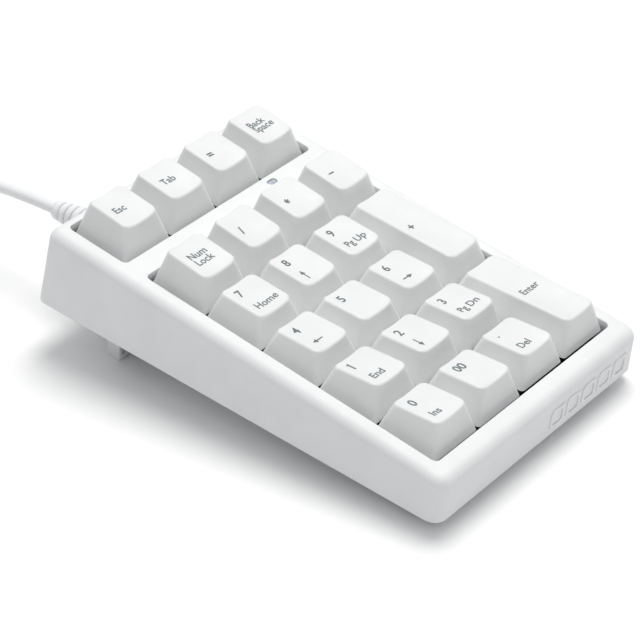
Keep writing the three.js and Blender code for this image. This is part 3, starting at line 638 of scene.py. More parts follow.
def add_stem(bm, key, ceiling):
    """The boss under the roof and the switch slider that it is pressed on to."""
    inside = ceiling + 0.5 * MM - abs(key.slant) * STEM_RADIUS
    add_bar(bm, (0, 0, STEM_FOOT), (0, 0, inside), STEM_RADIUS)
    x, y = SLIDER_SIZE[0] / 2, SLIDER_SIZE[1] / 2
    rounded_block(bm, (-x, -y, key.slider_foot), (x, y, SLIDER_TOP), 0.5 * MM, 0.2 * MM, 3)
    for long, wide in (CROSS_ARM, CROSS_ARM[::-1]):
        add_block(bm, (-long / 2, -wide / 2, STEM_FOOT), (long / 2, wide / 2, CROSS_TOP))


def text_mesh(body, size, thickness, thin):
    """Print in the built-in sans, left-aligned, with its height centred on zero."""
    curve = bpy.data.curves.new("print", "FONT")
    curve.body = body
    curve.size = size
    curve.extrude = thickness / 2
    curve.offset = -thin
    curve.resolution_u = 4
    holder = add_object("print", curve)
    bm = evaluated_bmesh(holder)
    bpy.data.objects.remove(holder)
    bpy.data.curves.remove(curve)
    bmesh.ops.remove_doubles(bm, verts=bm.verts, dist=MERGE)
    return bm


def middle_y(bm):
    heights = [vertex.co.y for vertex in bm.verts]
    return (min(heights) + max(heights)) / 2


def left_x(bm):
    return min(vertex.co.x for vertex in bm.verts)


def add_print(bm, body, size, at_y, sizes, thin):
    """Adds print from the left margin, its middle at a height on the key's top."""
    text = text_mesh(body, size, sizes.ink, thin)
    merge_into(bm, text, (sizes.margin - left_x(text), at_y - middle_y(text), 0))


ARROW_HEAD = 1.65 * MM
HEAD_SHARE = 0.62  # of the head's length from its middle to a corner
HEAD_SQUASH = 0.85
ARROW_INDENT = 0.1 * MM
FLAG_HALF = 0.5 * MM
FLAG_SLANT = math.radians(38)
FLAG_RISE = 0.32  # of the digit size, above the middle of the digit
FLAG_INDENT = 0.05 * MM
THIN = -0.03 * MM  # taken off each side of the built-in sans: below zero makes it bolder
PRINT_LIFT = 0.05 * MM


def arrow_mesh(direction, sizes):
    """A line with a small solid head."""
    bm = bmesh.new()
    half, ink, radius = sizes.arrow / 2, sizes.ink / 2, ARROW_HEAD * HEAD_SHARE
    wide = sizes.stroke / 2
    add_block(bm, (-half, -wide, -ink), (half - ARROW_HEAD / 2, wide, ink))
    turn = Matrix.Rotation(-math.pi / 2, 4, "Z")
    tip = bmesh.ops.create_cone(
        bm, cap_ends=True, segments=3, radius1=radius, radius2=radius, depth=sizes.ink,
        matrix=Matrix.Translation((half - radius, 0, 0)) @ turn,
    )
    bmesh.ops.scale(bm, vec=(1.0, HEAD_SQUASH, 1.0), verts=tip["verts"])
    move(bm, Matrix.Rotation(math.radians(direction), 4, "Z"))
    return bm


def add_flag(bm, sizes):
    """The short slanting stroke at the head of the one."""
    flag = bmesh.new()
    wide, ink = sizes.stroke / 2, sizes.ink / 2
    add_block(flag, (-FLAG_HALF, -wide, -ink), (FLAG_HALF, wide, ink))
    move(flag, Matrix.Rotation(FLAG_SLANT, 4, "Z"))
    merge_into(bm, flag, (sizes.margin + FLAG_INDENT, sizes.upper + FLAG_RISE * sizes.digit, 0))


def legend_mesh(key, sizes):
    """The print on one key, laid on the dished top."""
    bm = bmesh.new()
    if key.first == "1":
        add_flag(bm, sizes)
    if key.first.isdigit() or key.second is not None:
        add_print(bm, key.first, sizes.digit, sizes.upper, sizes, 2 * THIN)
        if isinstance(key.second, str):
            add_print(bm, key.second, sizes.word, sizes.lower, sizes, THIN)
        elif key.second is not None:
            arrow = arrow_mesh(key.second, sizes)
            left = sizes.margin - left_x(arrow) + ARROW_INDENT
            merge_into(bm, arrow, (left, sizes.lower - middle_y(arrow), 0))
    else:
        lines = key.first.split("\n")
        size = sizes.word if len(key.first) > 1 else sizes.digit
        for number, line in enumerate(lines):
            height = ((len(lines) - 1) / 2 - number) * sizes.line
            add_print(bm, line, size, height, sizes, THIN if line.isalpha() else 3 * THIN)
    for vertex in bm.verts:
        x, y = vertex.co.x, vertex.co.y + key.top_y
        vertex.co = (x, y, key.surface(x, y) + PRINT_LIFT + vertex.co.z)
    return bm


# ---- case

COVER_DROP = 32 * MM  # the outer walls before their lower edge is cut
COVER_SEAM = MM  # seams of the deck nearer to its middle line are kept
WELL_MARGIN = 1 * MM
SKIRT_TUCK = 0.2 * MM  # into the deck from below
SLIVER = 0.02 * MM
TRAY_EDGE = 1.0 * MM


class CasePlan:
    """The outline of the case and its wells in the deck frame."""

    def __init__(self, sizes):
        first, last, function = deck_box("key_0"), deck_box("key_minus"), deck_box("key_backspace")
        clear = sizes.well_clearance
        self.half_well = last[1].x + clear
        self.wells = [(first[0].y - clear, last[1].y + clear), (function[0].y - clear, function[1].y + clear)]
        self.half_width = self.half_well + sizes.side_border
        self.front = self.wells[0][0] - sizes.front_border
        self.back = self.wells[1][1] + sizes.back_border
        self.sizes = sizes

    def lower_edge(self, y):
        """Height of the cover's lower edge."""
        return -self.sizes.front_height - (y - self.front) * math.tan(WEDGE)

    def underside(self, y):
        """Height of the flat bottom of the case."""
        return self.lower_edge(y) - self.sizes.tray_drop

    def growth(self, z):
        """How far the drafted wall has moved outwards at a height."""
        return (-z - self.sizes.rim) * math.tan(self.sizes.draft)

    def corner(self, side, end, inset, height_at):
        """A corner of the outline: side and end are -1 or 1, and height_at gives z from y."""
        edge = self.back if end > 0 else self.front
        z = height_at(edge)
        spread = self.growth(z) - inset
        return (side * (self.half_width + spread), edge + end * spread, z)


def sheet_quad(bm, plan, inset, height_at):
    """Adds one four-cornered face on the case's outline."""
    for vertex in bmesh.ops.create_grid(bm, x_segments=1, y_segments=1, size=1.0)["verts"]:
        side, end = math.copysign(1, vertex.co.x), math.copysign(1, vertex.co.y)
        vertex.co = plan.corner(side, end, inset, height_at)


def extrude_rim(bm, edges):
    """Extrudes open edges and returns the new vertices."""
    made = bmesh.ops.extrude_edge_only(bm, edges=edges)["geom"]
    return [item for item in made if isinstance(item, bmesh.types.BMVert)]


def slice_faces(bm, faces, point, normal):
    """Cuts these faces by a plane, and returns all the faces that they became."""
    geom = set(faces) | {e for f in faces for e in f.edges} | {v for f in faces for v in f.verts}
    return bisect(bm, list(geom), point, normal)


def cover_mesh(plan):
    """The cover as a shell: drafted walls, two wells, and rounded upper edges."""
    sizes = plan.sizes
    bm = bmesh.new()
    sheet_quad(bm, plan, 0.0, lambda y: 0.0)
    for vertex in extrude_rim(bm, bm.edges[:]):
        side = math.copysign(1, vertex.co.x)
        end = 1 if vertex.co.y > (plan.front + plan.back) / 2 else -1
        vertex.co = plan.corner(side, end, 0.0, lambda y: -COVER_DROP)
    bevel(bm, [edge for edge in bm.edges if is_upright(edge)], sizes.corner, 9)

    top = [face for face in bm.faces if abs(face.normal.z) > 0.9]
    for side in (-1, 0, 1):
        top = slice_faces(bm, top, (side * plan.half_well, 0, 0), (1, 0, 0))
    middle = [face for face in top if abs(face.calc_center_median().x) < plan.half_well]
    for y in plan.wells[0] + plan.wells[1]:
        middle = slice_faces(bm, middle, (0, y, 0), (0, 1, 0))
    holes = []
    for front, back in plan.wells:
        holes += [face for face in middle if front < face.calc_center_median().y < back]
    bmesh.ops.delete(bm, geom=holes, context="FACES_ONLY")
    crown = [face for face in bm.faces if is_level(face, 0.0)]
    seams = {edge for face in crown for edge in face.edges if set(edge.link_faces) <= set(crown)}
    spare = [edge for edge in seams if len(edge.link_faces) == 2 and abs(edge.verts[0].co.x) > COVER_SEAM]
    bmesh.ops.dissolve_edges(bm, edges=spare, use_verts=False)
    down = Vector((0, -math.tan(WEDGE), -1))
    low_point = (0, plan.front, plan.lower_edge(plan.front))
    bisect(bm, everything(bm), low_point, down, clear_outer=True)
    bmesh.ops.recalc_face_normals(bm, faces=bm.faces)
    if sum(face.normal.z * face.calc_area() for face in bm.faces if is_level(face, 0.0)) < 0:
        bmesh.ops.reverse_faces(bm, faces=bm.faces)
    bmesh.ops.solidify(bm, geom=bm.faces[:], thickness=sizes.wall)
    at_wells = [e for e in bm.edges if abs(abs(e.verts[0].co.x) - plan.half_well) < 10 * FLAT]
    uprights = [edge for edge in at_wells if is_upright(edge)]
    bevel(bm, uprights, sizes.well_corner, 6)
    crown = [face for face in bm.faces if is_level(face, 0.0)]
    crown_rims = [e for e in bm.edges if is_level(e, 0.0) and len(set(crown) & set(e.link_faces)) == 1]
    outline = [edge for edge in crown_rims if not inside_wells(edge, plan)]
    bevel(bm, outline, sizes.rim, 8)
    level = [edge for edge in bm.edges if is_level(edge, 0.0) and inside_wells(edge, plan)]
    bevel(bm, [edge for edge in level if touches_wall(edge)], sizes.well_edge, 3)
    return bm


def add_skirts(bm, plan):
    """Adds the thin wall that hangs round each well."""
    sizes = plan.sizes
    thick, half = sizes.skirt_wall, plan.half_well
    grow, sliver = Vector((thick, thick, 0)), Vector((SLIVER, SLIVER, MM))
    for front, back in plan.wells:
        ring, opening = bmesh.new(), bmesh.new()
        low = Vector((-half, front, -sizes.skirt))
        high = Vector((half, back, -sizes.wall + SKIRT_TUCK))
        rounded_block(ring, low - grow, high + grow, sizes.well_corner + thick)
        rounded_block(opening, low - sliver, high + sliver, sizes.well_corner)
        merge_into(bm, cut_mesh(ring, opening))


def inside_wells(edge, plan):
    """Whether an edge lies within the outline of the two wells, with a margin."""
    middle = (edge.verts[0].co + edge.verts[1].co) / 2
    front, back = plan.wells[0][0] - WELL_MARGIN, plan.wells[1][1] + WELL_MARGIN
    return abs(middle.x) < plan.half_well + WELL_MARGIN and front < middle.y < back


def touches_wall(edge):
    return any(abs(face.normal.z) < 0.3 for face in edge.link_faces)


def tray_mesh(plan):
    """The tray: a shallow pan with a bevelled lower edge, in the deck frame."""
    sizes = plan.sizes
    bm = bmesh.new()
    sheet_quad(bm, plan, sizes.wall + sizes.gap, plan.underside)
    rise = sizes.tray_drop + sizes.tray_lip
    for vertex in extrude_rim(bm, bm.edges[:]):
        vertex.co.z += rise
        vertex.co.x -= math.copysign(rise * math.tan(sizes.draft), vertex.co.x)
    bevel(bm, [edge for edge in bm.edges if is_upright(edge)], sizes.corner - sizes.wall, 6)
    bmesh.ops.recalc_face_normals(bm, faces=bm.faces)
    floor = max(bm.faces, key=lambda face: face.calc_area())
    if floor.normal.z > 0:
        bmesh.ops.reverse_faces(bm, faces=bm.faces)
    bmesh.ops.solidify(bm, geom=bm.faces[:], thickness=sizes.tray_wall)
    downward = [face for face in bm.faces if face.normal.z < -0.9]
    sole = min(downward, key=lambda face: face.calc_center_median().z)
    bevel(bm, sole.edges[:], TRAY_EDGE, 4)
    return bm


# ---- operators


class KEYPAD_OT_stage(bpy.types.Operator):
    """Camera, pale floor and soft studio light"""
    bl_idname = "keypad.stage"
    bl_label = "Stage"

    CAMERA_PLACE = (-0.4460, -0.3515, 0.3946)
    CAMERA_AZIMUTH = math.radians(-51.34)
    CAMERA_ELEVATION = math.radians(33.84)
    CAMERA_LENS = 141.9
    FLOOR_SIZE = 12.0
    LIGHT_PLACE = Vector((0.36, 0.1, 1.3))
    LIGHT_SIZE = 0.8
    LIGHT_POWER = 12.0
    LIGHT_COLOUR = (1.0, 0.992, 0.965)
    SKY_COLOUR = (0.97, 0.985, 1.0, 1.0)
    SKY_HORIZON = 0.24
    SKY_ZENITH = 0.78

    def execute(self, context):
        scene = context.scene
        camera = add_object("camera", bpy.data.cameras.new("camera"))
        camera.data.lens = self.CAMERA_LENS
        camera.data.sensor_width = 36.0
        camera.data.clip_start = 0.01
        camera.location = self.CAMERA_PLACE
        camera.rotation_euler = (math.pi / 2 - self.CAMERA_ELEVATION, 0.0, self.CAMERA_AZIMUTH)
        scene.camera = camera

        bm = bmesh.new()
        bmesh.ops.create_grid(bm, x_segments=1, y_segments=1, size=self.FLOOR_SIZE / 2)
        floor = add_object("floor", to_mesh(bm, "floor"))
        floor.data.materials.append(material("floor"))

        self.add_light()
        scene.world = self.overcast()
        scene.view_settings.view_transform = "Standard"
        return {"FINISHED"}

    def overcast(self):
        """A sky that brightens evenly from the horizon to the zenith."""
        world = bpy.data.worlds.new("studio")
        world.use_nodes = True
        tree = world.node_tree
        direction, split, fade = [
            tree.nodes.new(f"ShaderNode{kind}") for kind in ("TexCoord", "SeparateXYZ", "MapRange")
        ]
        fill(tree, split, {"Vector": direction.outputs["Generated"]})
        levels = {"To Min": self.SKY_HORIZON, "To Max": self.SKY_ZENITH}
        fill(tree, fade, {"Value": split.outputs["Z"], **levels})
        strength = {"Color": self.SKY_COLOUR, "Strength": fade.outputs["Result"]}
        fill(tree, tree.nodes["Background"], strength)
        return world

    def add_light(self):
        """A round lamp high on the right, aimed at the origin."""
        light = bpy.data.lights.new("key_light", "AREA")
        light.shape = "DISK"
        light.size = self.LIGHT_SIZE
        light.energy = self.LIGHT_POWER
        light.color = self.LIGHT_COLOUR
        lamp = add_object("key_light", light)
        lamp.location = self.LIGHT_PLACE
        lamp.rotation_euler = (-self.LIGHT_PLACE).to_track_quat("-Z", "Y").to_euler()


class KEYPAD_OT_keycaps(bpy.types.Operator):
    """Hollow keycaps with dished tops, each on its own key"""
    bl_idname = "keypad.keycaps"
    bl_label = "Keycaps"

    def execute(self, context):
        sizes = context.scene.keypad.keycap
        for name in KEYS:
            key = KeyPlace(name, sizes)
            bm = keycap_mesh(key, sizes)
            node = f"key_{name}"
            to_piece(f"cap_{name}", bm, "key", node, [node], key.place)
        return {"FINISHED"}


class KEYPAD_OT_legends(bpy.types.Operator):
    """Printed digits, signs, arrows and key names"""
    bl_idname = "keypad.legends"
    bl_label = "Legends"

    def execute(self, context):
        settings = context.scene.keypad
        for name in KEYS:
            key = KeyPlace(name, settings.keycap)
            bm = legend_mesh(key, settings.legend)
            to_piece(f"legend_{name}", bm, "ink", f"key_{name}", (), key.place)
        return {"FINISHED"}


# The middle of the lead from inside the boot to the start of the coil, in metres.
LEAD_ROUTE = [
    (-0.020, 0.0613, 0.0267),
    (-0.020, 0.072, 0.0267),
    (-0.020, 0.084, 0.0267),
    (-0.020, 0.096, 0.0264),
    (-0.020, 0.108, 0.0252),
    (-0.0206, 0.120, 0.022),
    (-0.0232, 0.132, 0.0164),
    (-0.0274, 0.143, 0.0104),
    (-0.0318, 0.1535, 0.0052),
    (-0.0347, 0.163, 0.0023),
    (-0.03525, 0.1717, 0.0018),
]
# lane from the inside and layer from below, for each turn of the coil in the order it is wound
COIL_TURNS = [(3, 0), (2, 0), (1, 0), (0, 0), (0, 1), (1, 1), (2, 1), (1, 2), (2, 2), (3, 1)]
COIL_LANES = 4
COIL_CENTRE = Vector((-0.010, 0.188, 0.0))
COIL_REST = 0.5 * MM  # the coil lies on its strap
LEAVE_TURN = 0.25  # of a turn past the last one, where the lead leaves the coil
SHIFT = 0.2  # of a turn in which the lead changes its lane or its layer
LANE_START, LAYER_START = 0.8, 0.66  # how far round a turn each change starts


def smooth_step(value):
    value = min(1.0, max(0.0, value))
    return value * value * (3 - 2 * value)


def coil_points(sizes):
    """Turns wound clockwise: each keeps its lane until its last quarter, then shifts to the next."""
    across = 2 * sizes.radius
    inner = turned_box("cable_coil", Matrix.Identity(3))
    outer_lane = COIL_CENTRE.x - inner[0].x - sizes.radius
    lanes = [outer_lane - (COIL_LANES - 1 - lane) * across for lane in range(COIL_LANES)]
    lowest = COIL_REST + sizes.radius
    points = []
    count = int((len(COIL_TURNS) + LEAVE_TURN) * sizes.turn_points)
    for step in range(count + 1):
        turn, part = divmod(step / sizes.turn_points, 1.0)
        lane, layer = COIL_TURNS[min(int(turn), len(COIL_TURNS) - 1)]
        next_lane, next_layer = COIL_TURNS[min(int(turn) + 1, len(COIL_TURNS) - 1)]
        shift = smooth_step((part - LANE_START) / SHIFT)
        rise = smooth_step((part - LAYER_START) / SHIFT) if next_layer > layer else shift
        radius = lanes[lane] + (lanes[next_lane] - lanes[lane]) * shift
        height = lowest + (layer + (next_layer - layer) * rise) * across
        angle = math.pi - 2 * math.pi * (turn + part)
        around = Vector((radius * math.cos(angle), radius * math.sin(angle), height))
        points.append(COIL_CENTRE + around)
    return points


class KEYPAD_OT_lead(bpy.types.Operator):
    """The lead, its boot, its coil with a strap, and its plug"""
    bl_idname = "keypad.lead"
    bl_label = "Lead"

    GRIP_ENTRY = 2 * MM
    BOOT_FINS = 5
    STRAP_WIDTH = 8 * MM
    STRAP_REACH = 15 * MM
    STRAP_THICK = 0.5 * MM
    SHELL_WALL = 0.35 * MM
    SHELL_DEPTH = 10 * MM

    def execute(self, context):
        sizes = context.scene.keypad.lead
        boot = self.add_boot(sizes)
        strap = self.add_strap()
        plug = self.add_plug()
        grip_low, grip_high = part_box("usb_plug_grip")
        entry = (grip_low + grip_high) / 2
        entry.x = grip_low.x + self.GRIP_ENTRY
        points = [Vector(point) for point in LEAD_ROUTE] + coil_points(sizes)
        before = points[-1]
        points += [before.lerp(entry, 0.45) + Vector((0, 0, 0.15 * MM)), entry]
        curve = bpy.data.curves.new("lead", "CURVE")
        curve.dimensions = "3D"
        curve.bevel_depth = sizes.radius
        curve.bevel_resolution = 4
        curve.resolution_u = 5
        curve.use_fill_caps = True
        spline = curve.splines.new("BEZIER")
        spline.bezier_points.add(len(points) - 1)
        for knot, point in zip(spline.bezier_points, points):
            knot.co = point
            knot.handle_left_type = knot.handle_right_type = "AUTO"
        curve.materials.append(material("lead"))
        lead = add_object("lead", curve)
        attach(lead, "case")
        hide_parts("usb_cable", "cable_coil")
        return {"FINISHED"}

    def add_boot(self, sizes):
        """A tapered boot with flexing grooves, turned about the lead."""
        low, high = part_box("cable_strain_relief")
        bore = sizes.radius + 0.05 * MM
        wall = 5.1 * MM  # from the boot's inner end to the face of the case
        tip, collar = high.y - low.y, wall + 4 * MM
        profile = [(bore, 0), (5.0 * MM, 0), (5.0 * MM, 1.6 * MM), (3.4 * MM, 1.6 * MM)]
        profile += [(3.4 * MM, wall + 1.6 * MM), (4.4 * MM, wall + 1.6 * MM)]
        profile += [(4.6 * MM, wall + 1.8 * MM), (4.6 * MM, collar - 0.3 * MM), (4.4 * MM, collar)]
        fins = self.BOOT_FINS
        start = collar + 0.6 * MM
        pitch = (tip - start) / fins
        for fin in range(fins):
            y = start + fin * pitch
            outer = (4.2 - 1.2 * fin / (fins - 1)) * MM
            groove = outer - 0.7 * MM
            profile += [(groove, y - 0.5 * MM), (groove, y), (outer - 0.15 * MM, y + 0.1 * MM)]
            profile += [(outer, y + 0.3 * MM), (outer - 0.1 * MM, y + pitch - 0.8 * MM)]
            profile += [(outer - 0.25 * MM, y + pitch - 0.6 * MM)]
        profile += [(profile[-1][0] - 0.15 * MM, tip), (bore, tip)]
        bm = bmesh.new()
        spun(bm, profile)
        turn = Matrix.Rotation(-math.pi / 2, 4, "X")
        place = Matrix.Translation(((low.x + high.x) / 2, low.y, (low.z + high.z) / 2)) @ turn
        return to_piece("lead_boot", bm, "lead", "case", ["cable_strain_relief"], place)

    def add_strap(self):
        """A soft strap round the right side of the coil, with its end folded over."""
        low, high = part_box("cable_coil")
        outer = COIL_CENTRE.x - low.x + 0.5 * MM
        inner = outer - self.STRAP_REACH
        top = high.z + COIL_REST + 0.6 * MM
        half, thick = self.STRAP_WIDTH / 2, self.STRAP_THICK
        bm = bmesh.new()
        verts = add_block(bm, (inner, -half, 0), (outer, half, top))
        along_y = [edge for edge in edges_between(verts) if span(edge, 1) > half]
        bevel(bm, along_y, 2 * MM, 5)
        ends = [face for face in bm.faces if abs(face.normal.y) > 0.9]
        bmesh.ops.delete(bm, geom=ends, context="FACES_ONLY")
        bmesh.ops.solidify(bm, geom=bm.faces[:], thickness=thick)
        tab = add_block(bm, (inner + 3 * MM, -half, top), (outer - 4.5 * MM, half, top + thick))
        bevel(bm, [e for e in edges_between(tab) if is_upright(e)], 1.5 * MM, 4)
        place = Matrix.Translation(COIL_CENTRE)
        return to_piece("coil_strap", bm, "strap", "case", (), place)

    def add_plug(self):
        """The moulded grip and the open steel shell."""
        low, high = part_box("usb_plug_grip")
        bm = bmesh.new()
        rounded_block(bm, low, high, 2.4 * MM, 1.2 * MM)
        grip = to_piece("plug_grip", bm, "lead", "case", ["usb_plug_grip"])

        low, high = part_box("usb_plug_shell")
        bm = bmesh.new()
        verts = add_block(bm, low, high)
        long_edges = [edge for edge in edges_between(verts) if span(edge, 0) > MM]
        bevel(bm, long_edges, 0.5 * MM, 3)
        mouth = [face for face in bm.faces if face.normal.x > 0.9]
        bmesh.ops.inset_region(bm, faces=mouth, thickness=self.SHELL_WALL)
        bmesh.ops.extrude_discrete_faces(bm, faces=mouth)
        mouth = [face for face in bm.faces if face.normal.x > 0.9 and face.calc_area() > 30 * MM * MM]
        inside = list({vertex for face in mouth for vertex in face.verts})
        bmesh.ops.translate(bm, vec=(-self.SHELL_DEPTH, 0, 0), verts=inside)
        shell = to_piece("plug_shell", bm, "steel", "case", ["usb_plug_shell"])
        return [grip, shell]


class KEYPAD_OT_top_cover(bpy.types.Operator):
    """The cover with its wells, lamp hole and lead hole"""
    bl_idname = "keypad.top_cover"
    bl_label = "Top cover"

    LAMP_SLACK = Vector((0.15 * MM, 0.15 * MM, 2 * MM))

    def execute(self, context):
        sizes = context.scene.keypad.case
        plan = CasePlan(sizes)
        bm = cover_mesh(plan)
        lamp_low, lamp_high = deck_box("num_lock_lamp")
        hole = bmesh.new()
        rounded_block(hole, lamp_low - self.LAMP_SLACK, lamp_high + self.LAMP_SLACK, MM, 0, 8)
        bm = cut_mesh(bm, hole)
        skirts = bmesh.new()
        add_skirts(skirts, plan)
        for part in (bm, skirts):
            move(part, DECK)
        boot_low, boot_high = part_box("cable_strain_relief")
        bore = bmesh.new()
        middle = (boot_low + boot_high) / 2
        start, end = middle.copy(), middle.copy()
        start.y, end.y = boot_low.y, boot_high.y
        add_bar(bore, start, end, sizes.lead_hole, 40)
        bm = cut_mesh(bm, bore)
        merge_into(bm, skirts)
        to_piece("cover", bm, "case", "case", ["top_cover"])
        return {"FINISHED"}


# across and back in key pitches; None is the middle of the bar between the wells
SCREW_PLACES = [(-1.0, 2.5), (1.0, 2.5), (-0.5, None), (0.5, None)]


def screw_points(plan):
    """Where the case screws stand in the deck frame, at the underside."""
    pitch = deck_box("key_00")[0].x - deck_box("key_0")[0].x
    bar = (plan.wells[0][1] + plan.wells[1][0]) / 2
    points = []
    for across, along in SCREW_PLACES:
        y = bar if along is None else along * pitch
        points.append(Vector((across * pitch, y, plan.underside(y))))
    return points


class KEYPAD_OT_tray(bpy.types.Operator):
    """The lower half of the case: screw posts, counterbores, foot pockets and a label recess"""
    bl_idname = "keypad.tray"
    bl_label = "Tray"

    HEAD_RADIUS = 2.6 * MM
    HEAD_DEPTH = 2.2 * MM
    POST_HEIGHT = 7.4 * MM
    LABEL = ((-24 * MM, -31 * MM), (24 * MM, -6 * MM))  # in the underside frame
    LABEL_DEPTH = 0.3 * MM
    LABEL_EDGE = 0.6 * MM
    FILM_FACE = 0.12 * MM
    PIN_HOLE = 1.6 * MM
    PIN_REACH = Vector((9.4 * MM, 0, 0))
    POCKET_LENGTH = 14.87 * MM
    POCKET_BACK = 3.4 * MM
    POCKET_ROOF = 2.6 * MM
    POCKET_HALF_WIDTH = 8.4 * MM
    BLOCK_FOOT = 0.5 * MM
    PAST = 4 * MM  # cutters reach this far below the underside

    def execute(self, context):
        plan = CasePlan(context.scene.keypad.case)
        screws, hinges = screw_points(plan), self.hinges()
        bm = tray_mesh(plan)
        move(bm, DECK)

        added, removed, holes = bmesh.new(), bmesh.new(), bmesh.new()
        for point in screws:
            self.add_post(added, point)
            start, end = point - Vector((0, 0, self.PAST)), point + Vector((0, 0, self.HEAD_DEPTH))
            add_bar(removed, DECK @ start, DECK @ end, self.HEAD_RADIUS, 32)
        for hinge in hinges:
            self.add_pocket(added, hinge, plan.sizes.tray_wall, self.BLOCK_FOOT)
            self.add_pocket(removed, hinge, 0.0, -self.PAST)
            add_bar(holes, hinge - self.PIN_REACH, hinge + self.PIN_REACH, self.PIN_HOLE, 24)
        merge_into(removed, self.label_block(0.0, -MM, 1.5 * MM))
        for cutter, operation in ((added, "UNION"), (removed, "DIFFERENCE"), (holes, "DIFFERENCE")):
            bm = cut_mesh(bm, cutter, operation)
        to_piece("tray", bm, "case", "case", ["bottom_case"])
        label = self.label_block(self.LABEL_EDGE, self.FILM_FACE, 1.2 * MM)
        to_piece("blank_label", label, "label", "case")
        return {"FINISHED"}

    def label_block(self, edge, foot, corner):
        """The recess for the label, or with an edge the label in it."""
        (left, front), (right, back) = self.LABEL
        low, high = (left + edge, front + edge, foot), (right - edge, back - edge, self.LABEL_DEPTH)
        bm = bmesh.new()
        rounded_block(bm, low, high, corner, 0, 5)
        move(bm, UNDER)
        return bm

    @staticmethod
    def hinges():
        """The middle of each tilt foot's hinge, in the table frame."""
        return [Vector(joint(f"fold_{hand}_foot")["pos_m"]) for hand in ("left", "right")]

    def add_post(self, bm, point):
        """A screw post with a wide base, turned about its own axis."""
        post = bmesh.new()
        base, thin = 4.2 * MM, 2.5 * MM
        profile = [(0, 0.6 * MM), (base, 0.6 * MM), (base, 3.6 * MM), (base - 0.4 * MM, 4 * MM)]
        profile += [(thin + 0.3 * MM, 4 * MM), (thin, 4.3 * MM)]
        profile += [(thin, self.POST_HEIGHT), (0, self.POST_HEIGHT)]
        spun(post, profile, 32)
        move(post, DECK @ Matrix.Translation(point))
        merge_into(bm, post)

    def add_pocket(self, bm, hinge, margin, low):
        """The recess that a tilt foot folds into, or with a margin the block round it."""
        at = UNDER.inverted() @ hinge
        half = self.POCKET_HALF_WIDTH + margin
        front = at.y - self.POCKET_LENGTH - margin
        back = at.y + self.POCKET_BACK + margin
        top = at.z + self.POCKET_ROOF + margin
        verts = add_block(bm, (at.x - half, front, low), (at.x + half, back, top))
        bmesh.ops.transform(bm, matrix=UNDER, verts=verts)


class KEYPAD_OT_case_screws(bpy.types.Operator):
    """Pan-head screws in the counterbores under the case"""
    bl_idname = "keypad.case_screws"
    bl_label = "Case screws"

    def execute(self, context):
        bm = bmesh.new()
        for point in screw_points(CasePlan(context.scene.keypad.case)):
            screw = self.screw_mesh()
            seat = DECK @ Matrix.Translation(point + Vector((0, 0, KEYPAD_OT_tray.HEAD_DEPTH)))
            move(screw, seat)
            merge_into(bm, screw)
        to_piece("case_screws", bm, "steel", "case")
        return {"FINISHED"}

    @staticmethod
    def screw_mesh():
        """Head down, its seat at zero: a domed head with a cross recess, and a short thread."""
        head, shank = 2.2 * MM, 1.2 * MM
        bm = bmesh.new()
        profile = [(0, -1.35 * MM), (1.1 * MM, -1.3 * MM), (1.8 * MM, -1.05 * MM), (head, -0.5 * MM)]
        profile += [(head, -0.05 * MM), (shank, -0.05 * MM)]
        for turn in range(5):
            z = (0.5 + turn * 0.7) * MM
            profile += [(shank, z), (shank + 0.25 * MM, z + 0.15 * MM), (shank, z + 0.3 * MM)]
        profile += [(0, 4.4 * MM)]
        spun(bm, profile, 32)
        for x, y in ((1.3 * MM, 0.28 * MM), (0.28 * MM, 1.3 * MM)):
            slot = bmesh.new()
            add_block(slot, (-x, -y, -2 * MM), (x, y, -0.5 * MM))
            bm = cut_mesh(bm, slot)
        return bm


